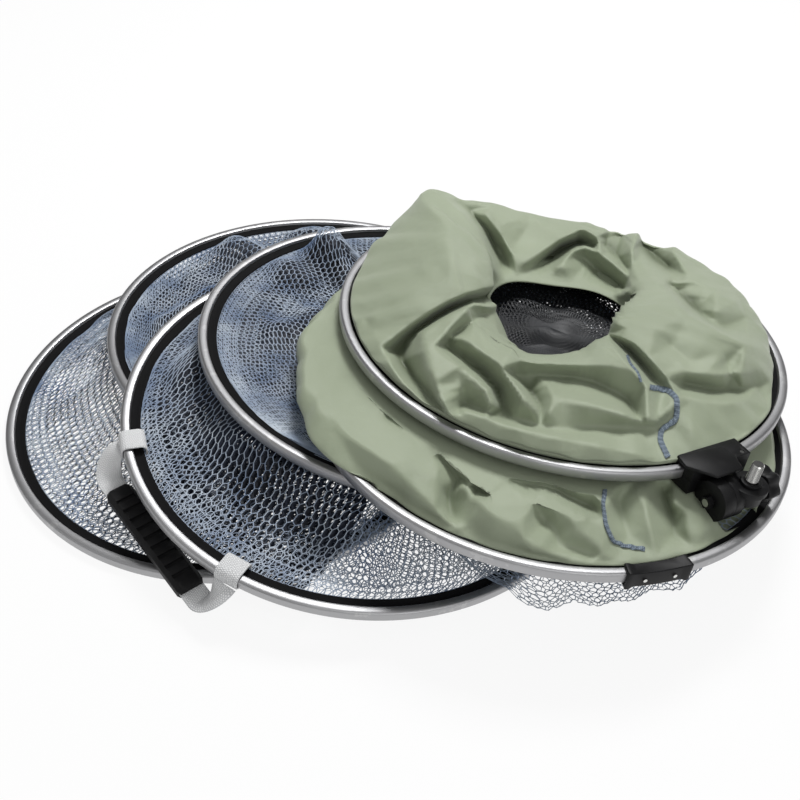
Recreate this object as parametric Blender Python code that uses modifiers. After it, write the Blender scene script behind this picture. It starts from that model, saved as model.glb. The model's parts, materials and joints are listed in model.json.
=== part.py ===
"""Keep net, folded down: six grooved hoops fanned over each other, the net walls between them,
the nylon sleeve bunched round the mouth, the angle lock on the top hoop and the carrying handle.

Metres, +Z up. The origin is on the floor, under the middle of the folded net."""

import math

import bmesh
import bpy
from mathutils import Matrix, Vector

# Hoops: a flattened section with a groove on its inner side for the net's band.
HOOP_DIAMETER = 0.400
TOP_HOOP_DIAMETER = 0.386
HOOP_WIDTH = 0.008
HOOP_HEIGHT = 0.0095
HOOP_CORNER = 0.0022
GROOVE_DEPTH = 0.0028
GROOVE_HEIGHT = 0.0036
HOOP_SIDES = 40
TOP_HOOP = 6
SLEEVE_HOOP = 5
HANDLE_HOOP = 3

# Where each hoop lies: centre x and y as shares of HOOP_DIAMETER, centre height in shares of
# HOOP_HEIGHT, and the rise towards -X and -Y over one hoop radius in shares of HOOP_HEIGHT.
HOOP_PLACE_SHARES = {
    1: (-0.3444, -0.0600, 0.50, 0.0, 0.0),
    2: (-0.1689, 0.1743, 2.00, 0.613, 1.285),
    3: (-0.0561, -0.1740, 4.00, 2.111, -1.069),
    4: (0.0754, 0.0138, 5.968, 2.234, 1.570),
    5: (0.3269, -0.1747, 6.784, 1.768, 1.778),
    6: (0.3639, -0.0067, 9.247, 2.203, 1.954),
}

# Bands: black tape with a bead that runs in the hoop's groove.
CLEARANCE = 0.0003
BAND_WIDTH = 0.008
BAND_EDGE = 0.0012

# Nets.
BASE_NET_THICKNESS = 0.0016
BASE_NET_CORD = 0.0035
BASE_NET_CELL = 0.036
PANEL_THICKNESS = 0.0030
PANEL_RISE = 0.0016
PANEL_FOLD = 0.0060
PANEL_RING_SHARES = (0.24, 0.48, 0.70, 0.88, 1.0)
PANEL_FOLD_SHARES = {1: 0.15, 2: 0.6, 3: 0.5, 4: 1.0}
REACH_SHARE = 0.2
EDGE_REACH_SHARE = 0.12
SLACK_FROM, SLACK_TO, SLACK_STEPS = -99.0, 36.0, 15
SLACK_FOOT_SHARE = 0.84
SLACK_GAP = 0.012

# Sleeve: height of its highest fold over the top hoop, and its shape at every 30 degrees.
SLEEVE_BULGE = 0.047
SLEEVE_EDGE = 0.0030
SLEEVE_PUFF = 0.0060
SLEEVE_SINK = 0.0030
SLEEVE_FOLD = 0.0035
SLEEVE_FOLDS = 9
THROAT_DIAMETER = 0.100
THROAT_OFFSET = 0.022
SHOULDER_RADIUS_SHARES = (0.93, 0.96, 0.95, 0.92, 0.95, 0.92, 0.90, 0.90, 0.90, 0.90, 0.88, 0.91)
SHOULDER_HEIGHT_SHARES = (0.38, 0.38, 0.26, 0.26, 0.53, 0.28, 0.18, 0.16, 0.16, 0.16, 0.14, 0.22)
RIDGE_RADIUS_SHARES = (0.80, 0.85, 0.89, 0.87, 0.92, 0.66, 0.56, 0.54, 0.52, 0.52, 0.56, 0.70)
RIDGE_HEIGHT_SHARES = (0.77, 0.73, 0.52, 0.52, 1.0, 0.96, 0.88, 0.77, 0.70, 0.68, 0.68, 0.77)
LIP_RADIUS_SHARES = (0.42, 0.50, 0.62, 0.68, 0.62, 0.44, 0.38, 0.38, 0.38, 0.37, 0.35, 0.36)
LIP_HEIGHT_SHARES = (0.60, 0.42, 0.18, 0.16, 0.40, 0.62, 0.70, 0.62, 0.58, 0.55, 0.55, 0.62)

# Joining sleeve over the butt joint of hoop 5.
JOINER_FROM, JOINER_TO = 280.5, 295.0
JOINER_WALL = 0.0016
JOINER_COLLAR = 0.0012
JOINER_COLLAR_LENGTH = 0.006
JOINER_SCREW_DIAMETER = 0.0030
JOINER_SCREW_HEAD = 0.0010

# Angle lock, in the frame of the top hoop at LOCK_AZIMUTH: X outwards, Y along the hoop, Z up.
LOCK_AZIMUTH = -60.0
CLAMP_LENGTH = 0.056
CLAMP_INNER = 0.007
CLAMP_OUTER = 0.0110
CLAMP_HEIGHT = 0.0120
CLAMP_SCREW_DIAMETER = 0.0035
CLAMP_SCREW_HEAD = 0.0062
CLAMP_SCREW_HEAD_HEIGHT = 0.0022
COVER_THICKNESS = 0.0024
PIVOT_OUT = 0.027
PIVOT_DROP = 0.008
DISC_DIAMETER = 0.031
FIXED_DISC_LENGTH = 0.011
BARREL_DISC_LENGTH = 0.008
BARREL_DIAMETER = 0.026
BARREL_LENGTH = 0.030
DISC_FROM = 0.020
BOLT_DIAMETER = 0.006
NUT_WIDTH = 0.0100
NUT_HEIGHT = 0.0050
KNOB_DIAMETER = 0.029
KNOB_WAIST_SHARE = 0.80
KNOB_LOBES = 6
KNOB_LENGTH = 0.012
KNOB_HUB_DIAMETER = 0.015
KNOB_HUB_LENGTH = 0.006
FLANGE_DIAMETER = 0.028
FLANGE_THICKNESS = 0.0045
FLANGE_OUT = 0.033
FLANGE_ALONG = 0.009
FLANGE_HEIGHT = 0.0055
COLLAR_DIAMETER = 0.016
COLLAR_HEIGHT = 0.0024
STUD_DIAMETER = 0.0095
STUD_LENGTH = 0.0185
STUD_ROOT = 0.006
THREAD_PITCH = 0.00127
THREAD_DEPTH = 0.0008

# Carrying handle, in the frame of the line between its two loops on hoop 3.
HANDLE_FROM, HANDLE_TO = -162.0, -117.0
WEBBING_WIDTH = 0.020
WEBBING_THICKNESS = 0.0015
LOOP_INNER = 0.0145
LOOP_SLACK = 0.0010
LOOP_NOTCH_FROM, LOOP_NOTCH_WIDTH = 3.0, 12.0
STRAP_BEND_STEPS = 5
GRIP_LENGTH = 0.112
GRIP_WIDTH = 0.022
GRIP_THICKNESS = 0.013
GRIP_REACH = 0.021
GRIP_DROP = 0.0250
GRIP_SLOTS = 9
GRIP_SLOT_WIDTH = 0.0036
GRIP_SLOT_DEPTH = 0.0022

OVERRUN = 0.002
HIDDEN_STEPS = 16


# Frames and planes

def centre_radius(k):
    """Radius of the middle of hoop k's section."""
    outer = TOP_HOOP_DIAMETER if k == TOP_HOOP else HOOP_DIAMETER
    return (outer - HOOP_WIDTH) / 2


def net_radius(k):
    """Where a net or the sleeve meets the inner edge of hoop k's band."""
    return centre_radius(k) - HOOP_WIDTH / 2 - BAND_WIDTH - CLEARANCE


def hoop_plane(k):
    """Centre and slopes of the plane that hoop k lies in."""
    x, y, z, tip_x, tip_y = HOOP_PLACE_SHARES[k]
    slope = HOOP_HEIGHT / ((HOOP_DIAMETER - HOOP_WIDTH) / 2)
    return x * HOOP_DIAMETER, y * HOOP_DIAMETER, z * HOOP_HEIGHT, tip_x * slope, tip_y * slope


def height_at(k, x, y):
    """Height of hoop k's plane over the floor at x, y."""
    cx, cy, cz, slope_x, slope_y = hoop_plane(k)
    return cz - slope_x * (x - cx) - slope_y * (y - cy)


def distance_from(k, x, y):
    """Distance of x, y from the middle of hoop k, seen from above."""
    cx, cy = hoop_plane(k)[:2]
    return math.hypot(x - cx, y - cy)


def frame_from(origin, x_axis, y_axis, z_axis):
    """A matrix with these columns."""
    turn = Matrix((x_axis, y_axis, z_axis)).transposed()
    return Matrix.Translation(origin) @ turn.to_4x4()


def hoop_frame(k):
    """Hoop k's frame: Z square to the hoop, X towards world +X."""
    cx, cy, cz, slope_x, slope_y = hoop_plane(k)
    normal = Vector((slope_x, slope_y, 1)).normalized()
    x_axis = Vector((0, 1, 0)).cross(normal).normalized()
    return frame_from(Vector((cx, cy, cz)), x_axis, normal.cross(x_axis), normal)


def rim_point(k, azimuth, radius, lift=0.0):
    """World point at an azimuth, radius and lift in hoop k's frame."""
    angle = math.radians(azimuth)
    local = Vector((radius * math.cos(angle), radius * math.sin(angle), lift))
    return hoop_frame(k) @ local


def lock_frame():
    """Frame on the top hoop's section: X outwards, Y along the hoop, Z up."""
    turn = Matrix.Rotation(math.radians(LOCK_AZIMUTH), 4, "Z")
    return hoop_frame(TOP_HOOP) @ turn @ Matrix.Translation((centre_radius(TOP_HOOP), 0, 0))


def handle_frame():
    """Frame at the middle of the line between the handle's loops: Y along it, X outwards."""
    start = rim_point(HANDLE_HOOP, HANDLE_FROM, centre_radius(HANDLE_HOOP))
    end = rim_point(HANDLE_HOOP, HANDLE_TO, centre_radius(HANDLE_HOOP))
    along = (end - start).normalized()
    outwards = along.cross(Vector((0, 0, 1))).normalized()
    return frame_from((start + end) / 2, outwards, along, outwards.cross(along))


# Numbers

def fade(value, edge, width):
    """One up to edge, falling smoothly to zero over width."""
    t = min(max((value - edge) / width, 0.0), 1.0)
    return 1 - t * t * (3 - 2 * t)


def turn_between(a, b):
    """Size of the smaller angle between two azimuths, in degrees."""
    return abs((a - b + 180) % 360 - 180)


def around(shares, azimuth):
    """Smooth value at an azimuth, from shares evenly spaced round the circle."""
    place = (azimuth % 360) / 360 * len(shares)
    i = int(place)
    t = place - i
    a, b, c, d = (shares[(i + n) % len(shares)] for n in (-1, 0, 1, 2))
    return b + t * (c - a + t * (2 * a - 5 * b + 4 * c - d + t * (3 * (b - c) + d - a))) / 2


# Scene and materials

def clear_scene():
    for item in list(bpy.data.objects):
        bpy.data.objects.remove(item, do_unlink=True)


def collection(name):
    found = bpy.data.collections.new(name)
    bpy.context.scene.collection.children.link(found)
    return found


def material(name, colour, roughness, metallic=0.0):
    made = bpy.data.materials.new(name)
    made.use_nodes = True
    shader = made.node_tree.nodes["Principled BSDF"]
    shader.inputs["Base Color"].default_value = (*colour, 1)
    shader.inputs["Roughness"].default_value = roughness
    shader.inputs["Metallic"].default_value = metallic
    return made


class Shop:
    """The two collections and the materials."""

    def __init__(self):
        self.parts = collection("keep_net")
        self.cutters = collection("keep_net_cutters")
        self.aluminium = material("satin_aluminium", (0.55, 0.56, 0.57), 0.35, 1.0)
        self.tape = material("black_tape", (0.02, 0.02, 0.02), 0.8)
        self.net = material("blue_grey_net", (0.20, 0.26, 0.34), 0.7)
        self.dark_net = material("dark_net", (0.03, 0.03, 0.035), 0.8)
        self.nylon = material("sage_nylon", (0.40, 0.45, 0.31), 0.55)
        self.plastic = material("black_plastic", (0.015, 0.015, 0.016), 0.45)
        self.rubber = material("black_rubber", (0.02, 0.02, 0.02), 0.6)
        self.webbing = material("grey_webbing", (0.42, 0.43, 0.44), 0.8)
        self.steel = material("stainless_steel", (0.75, 0.75, 0.74), 0.2, 1.0)

    def keep(self, name, bm, finish, frame=None, cutter=False):
        """Make an object of bm, placed by frame, in the parts or the cutters."""
        mesh = bpy.data.meshes.new(name)
        bm.to_mesh(mesh)
        bm.free()
        item = bpy.data.objects.new(name, mesh)
        if frame is not None:
            item.matrix_world = frame
        if cutter:
            item.hide_render = True
            item.display_type = "WIRE"
            self.cutters.objects.link(item)
            return item
        mesh.materials.append(finish)
        mesh.shade_smooth()
        mesh.set_sharp_from_angle(angle=math.radians(35))
        self.parts.objects.link(item)
        return item


def boolean(item, other, operation):
    """Cut other out of item, or join it on."""
    modifier = item.modifiers.new(operation.lower(), "BOOLEAN")
    modifier.operation = operation
    modifier.solver = "EXACT"
    modifier.object = other


# Shapes

def box_mesh(low, high):
    """A box between two corners."""
    bm = bmesh.new()
    size = [b - a for a, b in zip(low, high)]
    middle = [(a + b) / 2 for a, b in zip(low, high)]
    scale = Matrix.Diagonal((*size, 1))
    bmesh.ops.create_cube(bm, size=1, matrix=Matrix.Translation(middle) @ scale)
    return bm


def cylinder_mesh(diameter, start, end, sides=24):
    """A cylinder between two points."""
    bm = bmesh.new()
    start, end = Vector(start), Vector(end)
    along = end - start
    turn = Vector((0, 0, 1)).rotation_difference(along).to_matrix().to_4x4()
    place = Matrix.Translation((start + end) / 2) @ turn
    bmesh.ops.create_cone(bm, cap_ends=True, segments=sides, radius1=diameter / 2,
                          radius2=diameter / 2, depth=along.length, matrix=place)
    return bm


def loft(rings, closed=False):
    """Skin a row of point rings; the row closes on itself, or its ends are capped."""
    bm = bmesh.new()
    rows = [[bm.verts.new(point) for point in ring] for ring in rings]
    pairs = list(zip(rows, rows[1:]))
    if closed:
        pairs.append((rows[-1], rows[0]))
    count = len(rows[0])
    for low, high in pairs:
        for i in range(count):
            j = (i + 1) % count
            bm.faces.new((low[i], low[j], high[j], high[i]))
    if not closed:
        bm.faces.new(rows[0])
        bm.faces.new(rows[-1])
    bmesh.ops.recalc_face_normals(bm, faces=bm.faces)
    return bm


def arc_sections(profile_at, start, end, steps):
    """Profiles (radius, height) set round the Z axis from one azimuth to another."""
    rings = []
    for step in range(steps + 1):
        share = step / steps
        angle = math.radians(start + (end - start) * share)
        c, s = math.cos(angle), math.sin(angle)
        rings.append([(r * c, r * s, z) for r, z in profile_at(share)])
    return rings


def turned_ring(shop, name, profile, finish, frame, cutter=False):
    """A ring turned from a closed profile of (radius, height) points with a Screw modifier."""
    bm = bmesh.new()
    verts = [bm.verts.new((r, 0, z)) for r, z in profile]
    for a, b in zip(verts, verts[1:] + verts[:1]):
        bm.edges.new((a, b))
    item = shop.keep(name, bm, finish, frame, cutter)
    screw = item.modifiers.new("turn", "SCREW")
    screw.axis = "Z"
    screw.steps = HOOP_SIDES
    screw.render_steps = HOOP_SIDES
    screw.use_merge_vertices = True
    screw.merge_threshold = 0.00005
    return item


# Hoops and bands

def hoop_profile(k):
    """The hoop's grooved section, down its outer side first."""
    middle = centre_radius(k)
    outer, inner = middle + HOOP_WIDTH / 2, middle - HOOP_WIDTH / 2
    half, groove = HOOP_HEIGHT / 2, GROOVE_HEIGHT / 2
    corner, floor = HOOP_CORNER, middle - HOOP_WIDTH / 2 + GROOVE_DEPTH
    return [
        (outer - corner, half), (outer, half - corner), (outer, corner - half), (outer - corner, -half),
        (inner + corner, -half), (inner, -groove), (floor, -groove),
        (floor, groove), (inner, groove), (inner + corner, half),
    ]


def band_profile(k):
    """The band: a bead in the groove and a flat edge that the net is sewn to."""
    inner = centre_radius(k) - HOOP_WIDTH / 2
    bead, edge = inner + GROOVE_DEPTH - CLEARANCE, inner - BAND_WIDTH
    return [
        (bead, GROOVE_HEIGHT / 2 - CLEARANCE), (bead, CLEARANCE - GROOVE_HEIGHT / 2),
        (edge, -BAND_EDGE / 2), (edge, BAND_EDGE / 2),
    ]


def make_hoops(shop):
    for k in HOOP_PLACE_SHARES:
        turned_ring(shop, f"hoop_{k}", hoop_profile(k), shop.aluminium, hoop_frame(k))
        turned_ring(shop, f"hoop_{k}_band", band_profile(k), shop.tape, hoop_frame(k))


def joiner_profile(k, wall):
    """A channel over the outside, top and bottom of hoop k's section, open to the net."""
    inner = centre_radius(k) - HOOP_WIDTH / 2
    near, half = centre_radius(k) + HOOP_WIDTH / 2 + CLEARANCE, HOOP_HEIGHT / 2 + CLEARANCE
    return [
        (inner, half), (near, half), (near, -half), (inner, -half),
        (inner, -half - wall), (near + wall, -half - wall), (near + wall, half + wall), (inner, half + wall),
    ]


def make_joiner(shop):
    """Black sleeve over the joint of hoop 5, thicker at its ends, and its two screws."""
    arc = math.radians(JOINER_TO - JOINER_FROM) * centre_radius(SLEEVE_HOOP)
    collar_share = JOINER_COLLAR_LENGTH / arc

    def profile_at(share):
        wall = JOINER_WALL
        if share < collar_share or share > 1 - collar_share:
            wall += JOINER_COLLAR
        return joiner_profile(SLEEVE_HOOP, wall)

    rings = arc_sections(profile_at, JOINER_FROM, JOINER_TO, HIDDEN_STEPS)
    frame = hoop_frame(SLEEVE_HOOP)
    shop.keep("hoop_5_joiner", loft(rings), shop.plastic, frame)
    face = centre_radius(SLEEVE_HOOP) + HOOP_WIDTH / 2 + 2 * CLEARANCE + JOINER_WALL
    for number, share in enumerate((0.27, 0.73), 1):
        angle = math.radians(JOINER_FROM + (JOINER_TO - JOINER_FROM) * share)
        outwards = Vector((math.cos(angle), math.sin(angle), 0))
        head = cylinder_mesh(JOINER_SCREW_DIAMETER, outwards * face, outwards * (face + JOINER_SCREW_HEAD), 12)
        shop.keep(f"hoop_5_joiner_screw_{number}", head, shop.steel, frame)


# Nets

def make_base_net(shop):
    """The flat net that closes the lowest hoop, as an outline with diamond gaps."""
    radius = net_radius(1)
    outline = bpy.data.curves.new("base_net_outline", "CURVE")
    outline.dimensions = "2D"
    outline.fill_mode = "BOTH"
    outline.extrude = BASE_NET_THICKNESS / 2

    def add_loop(points):
        spline = outline.splines.new("POLY")
        spline.points.add(len(points) - 1)
        for point, (x, y) in zip(spline.points, points):
            point.co = (x, y, 0, 1)
        spline.use_cyclic_u = True

    turns = [math.tau * (i + 0.5) / HOOP_SIDES for i in range(HOOP_SIDES)]
    add_loop([(radius * math.cos(a), radius * math.sin(a)) for a in turns])
    half = (BASE_NET_CELL - BASE_NET_CORD) / 2
    limit = radius - BASE_NET_CORD - half
    rows = int(radius / BASE_NET_CELL * 2) + 1
    for i in range(-rows, rows + 1):
        for j in range(-rows, rows + 1):
            x, y = (i + j) * BASE_NET_CELL / 2, (i - j) * BASE_NET_CELL / 2
            if math.hypot(x, y) < limit:
                add_loop([(x + half, y), (x, y + half), (x - half, y), (x, y - half)])
    curve = bpy.data.objects.new("base_net_outline", outline)
    shop.cutters.objects.link(curve)
    bpy.context.view_layer.update()
    mesh = bpy.data.meshes.new_from_object(curve.evaluated_get(bpy.context.evaluated_depsgraph_get()))
    bm = bmesh.new()
    bm.from_mesh(mesh)
    bmesh.ops.remove_doubles(bm, verts=bm.verts, dist=0.00002)
    bpy.data.meshes.remove(mesh)
    bpy.data.objects.remove(curve)
    cx, cy, cz = hoop_plane(1)[:3]
    level = cz - HOOP_HEIGHT / 2 + CLEARANCE + BASE_NET_THICKNESS / 2
    shop.keep("base_net", bm, shop.net, Matrix.Translation((cx, cy, level)))


def ceiling_over(k, x, y):
    """The lowest hoop underside above net panel k at x, y, if a hoop is near."""
    reach = REACH_SHARE * HOOP_DIAMETER / 2
    levels = [
        height_at(j, x, y) - HOOP_HEIGHT / 2 - CLEARANCE
        for j in range(k + 1, TOP_HOOP + 1)
        if distance_from(j, x, y) < centre_radius(j) + HOOP_WIDTH / 2 + reach
    ]
    return min(levels, default=None)


def floor_under(k, x, y, reach_share):
    """The highest of what net panel k lies on at x, y."""
    reach = reach_share * HOOP_DIAMETER / 2
    levels = [3 * CLEARANCE + BASE_NET_THICKNESS]
    for j in range(1, k):
        away = distance_from(j, x, y)
        if away < centre_radius(j) + reach and reach_share > EDGE_REACH_SHARE:
            levels.append(height_at(k, x, y) - HOOP_HEIGHT / 2)
        if abs(away - centre_radius(j)) < HOOP_WIDTH / 2 + reach:
            levels.append(height_at(j, x, y) + HOOP_HEIGHT / 2 + CLEARANCE)
    return max(levels)


def panel_heights(k, x, y, share):
    """Top and bottom of net panel k at x, y; share runs from its middle to its edge."""
    bottom = max(floor_under(k, x, y, REACH_SHARE), height_at(k, x, y) - HOOP_HEIGHT / 2)
    ceiling = ceiling_over(k, x, y)
    cx, cy = hoop_plane(k)[:2]
    angle = math.atan2(y - cy, x - cx)
    fold = PANEL_FOLD * PANEL_FOLD_SHARES[k] * math.sin(math.pi * min(share, 1.0))
    fold *= 0.5 + 0.5 * math.sin(5 * angle + 7 * share + k)
    top = max(height_at(k, x, y) + PANEL_RISE + fold, bottom + PANEL_THICKNESS)
    if share > 0.99:
        bottom = max(height_at(k, x, y) - PANEL_THICKNESS / 4, floor_under(k, x, y, EDGE_REACH_SHARE))
        top = bottom + PANEL_THICKNESS / 2
    if ceiling is not None:
        top = min(top, ceiling)
    return top, min(bottom, top - PANEL_THICKNESS / 4)


def make_panels(shop):
    """Each net wall as it lies folded inside its lower hoop."""
    for k in range(1, SLEEVE_HOOP):
        cx, cy = hoop_plane(k)[:2]
        grids = ([], [])
        bm = bmesh.new()
        for share in PANEL_RING_SHARES:
            rows = ([], [])
            for side in range(HOOP_SIDES):
                azimuth = 360 * side / HOOP_SIDES
                notch = max(fade(turn_between(azimuth, a), LOOP_NOTCH_FROM, LOOP_NOTCH_WIDTH)
                            for a in (HANDLE_FROM, HANDLE_TO))
                radius = net_radius(k) * share
                if k == HANDLE_HOOP and share > 0.99:
                    radius -= notch * (LOOP_INNER - HOOP_WIDTH / 2 - BAND_WIDTH + 3 * WEBBING_THICKNESS)
                edge = rim_point(k, azimuth, radius)
                heights = panel_heights(k, edge.x, edge.y, share)
                for row, z in zip(rows, heights):
                    row.append(bm.verts.new((edge.x, edge.y, z)))
            for grid, row in zip(grids, rows):
                grid.append(row)
        for grid, z in zip(grids, panel_heights(k, cx, cy, 0.0)):
            hub = bm.verts.new((cx, cy, z))
            for i in range(HOOP_SIDES):
                j = (i + 1) % HOOP_SIDES
                bm.faces.new((hub, grid[0][i], grid[0][j]))
                for low, high in zip(grid, grid[1:]):
                    bm.faces.new((low[i], high[i], high[j], low[j]))
        top_edge, bottom_edge = grids[0][-1], grids[1][-1]
        for i in range(HOOP_SIDES):
            j = (i + 1) % HOOP_SIDES
            bm.faces.new((top_edge[i], bottom_edge[i], bottom_edge[j], top_edge[j]))
        bmesh.ops.triangulate(bm, faces=bm.faces)
        bmesh.ops.recalc_face_normals(bm, faces=bm.faces)
        shop.keep(f"net_panel_{k}", bm, shop.net)


def make_slack(shop):
    """The slack of net panel 4, which hangs from hoop 5 to the floor beyond the lower hoops."""
    k = SLEEVE_HOOP
    cx, cy = hoop_plane(k)[:2]
    outer = centre_radius(k)
    rings = []
    for step in range(SLACK_STEPS + 1):
        azimuth = SLACK_FROM + (SLACK_TO - SLACK_FROM) * step / SLACK_STEPS
        angle = math.radians(azimuth)
        c, s = math.cos(angle), math.sin(angle)
        inner = 0.0
        for j in range(1, k):
            jx, jy = hoop_plane(j)[:2]
            dx, dy = cx - jx, cy - jy
            radius = centre_radius(j) + HOOP_WIDTH / 2 + SLACK_GAP
            along = dx * c + dy * s
            across = radius * radius - dx * dx - dy * dy + along * along
            if across > 0:
                inner = max(inner, math.sqrt(across) - along)
        foot = max(outer * SLACK_FOOT_SHARE, inner + PANEL_THICKNESS)
        section = []
        for radius, top in ((inner, False), (foot, False), (net_radius(k), True), (inner, True)):
            x, y = cx + radius * c, cy + radius * s
            ceiling = height_at(k, x, y) - HOOP_HEIGHT / 2 - CLEARANCE
            section.append((x, y, ceiling if top else 0.0))
        rings.append(section)
    shop.keep("net_panel_4_slack", loft(rings), shop.net)


# Sleeve

def sleeve_section(azimuth):
    """Outline of the bunched sleeve at one azimuth, from hoop 5's band over the top to the throat."""
    low, high = SLEEVE_HOOP, TOP_HOOP
    top_radius = centre_radius(high)
    near_lock = fade(turn_between(azimuth, LOCK_AZIMUTH + 5), 22, 18)
    fold = SLEEVE_FOLD * math.sin(math.radians(SLEEVE_FOLDS * azimuth))
    low_edge = rim_point(low, azimuth, net_radius(low))
    under_drop = HOOP_HEIGHT / 2 + SLEEVE_EDGE + near_lock * (CLAMP_HEIGHT - HOOP_HEIGHT / 2)
    under = rim_point(high, azimuth, net_radius(high), -under_drop)
    middle = low_edge.lerp(under, 0.5)
    puff = (SLEEVE_PUFF + fold) * (1 - near_lock)
    middle.z = middle.z * (1 - near_lock) + near_lock * (height_at(low, middle.x, middle.y) - SLEEVE_SINK)
    middle.z += puff
    throat = rim_point(high, 90.0, THROAT_OFFSET)
    angle = math.radians(azimuth)
    outwards = Vector((math.cos(angle), math.sin(angle), 0))

    def top_point(radius_shares, height_shares, wave):
        radius = around(radius_shares, azimuth) * top_radius
        lift = around(height_shares, azimuth) * SLEEVE_BULGE + wave * fold
        return rim_point(high, azimuth, radius, lift)

    foot = throat + outwards * (THROAT_DIAMETER / 2)
    foot.z = height_at(low, foot.x, foot.y) + SLEEVE_EDGE
    neck = foot.lerp(top_point(LIP_RADIUS_SHARES, LIP_HEIGHT_SHARES, 0), 0.45)
    sole = foot + outwards * SLEEVE_PUFF
    sole.z = height_at(low, sole.x, sole.y) - HOOP_HEIGHT / 2 + CLEARANCE
    heel = sole.lerp(low_edge, 0.6)
    heel.z = height_at(low, heel.x, heel.y) - HOOP_HEIGHT / 2 + CLEARANCE
    return [
        rim_point(low, azimuth, net_radius(low), SLEEVE_EDGE / 2),
        middle,
        under,
        rim_point(high, azimuth, net_radius(high), SLEEVE_EDGE),
        top_point(SHOULDER_RADIUS_SHARES, SHOULDER_HEIGHT_SHARES, 0),
        top_point(RIDGE_RADIUS_SHARES, RIDGE_HEIGHT_SHARES, 1),
        top_point(LIP_RADIUS_SHARES, LIP_HEIGHT_SHARES, 1),
        neck,
        foot,
        sole,
        heel,
        rim_point(low, azimuth, net_radius(low), -SLEEVE_EDGE / 2),
    ]


def make_sleeve(shop):
    rings = [sleeve_section(360 * i / HOOP_SIDES) for i in range(HOOP_SIDES)]
    shop.keep("sleeve", loft(rings, closed=True), shop.nylon)
    throat = rim_point(TOP_HOOP, 90.0, THROAT_OFFSET)
    radius = THROAT_DIAMETER / 2 - CLEARANCE
    rows = []
    for lift in (SLEEVE_EDGE - PANEL_THICKNESS / 2, SLEEVE_EDGE):
        row = []
        for i in range(HOOP_SIDES):
            angle = math.tau * i / HOOP_SIDES
            x, y = throat.x + radius * math.cos(angle), throat.y + radius * math.sin(angle)
            row.append((x, y, height_at(SLEEVE_HOOP, x, y) + lift))
        rows.append(row)
    shop.keep("mouth_net", loft(rows), shop.dark_net)


# Angle lock

def channel_cutter(shop):
    """The room that the top hoop and its band need inside the clamp."""
    middle = centre_radius(TOP_HOOP)
    inner, outer = middle - HOOP_WIDTH / 2 - CLEARANCE, middle + HOOP_WIDTH / 2 + CLEARANCE
    half, slot = HOOP_HEIGHT / 2 + CLEARANCE, GROOVE_HEIGHT / 2
    deep = inner - BAND_WIDTH - OVERRUN
    profile = [
        (outer, half), (outer, -half), (inner, -half), (inner, -slot),
        (deep, -slot), (deep, slot), (inner, slot), (inner, half),
    ]
    return turned_ring(shop, "clamp_channel", profile, None, hoop_frame(TOP_HOOP), cutter=True)


def screw_places():
    """Where the clamp's two screws stand, outside the hoop."""
    out = (HOOP_WIDTH / 2 + CLAMP_OUTER) / 2
    return [(out, along) for along in (-CLAMP_LENGTH * 0.10, CLAMP_LENGTH * 0.40)]


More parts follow.
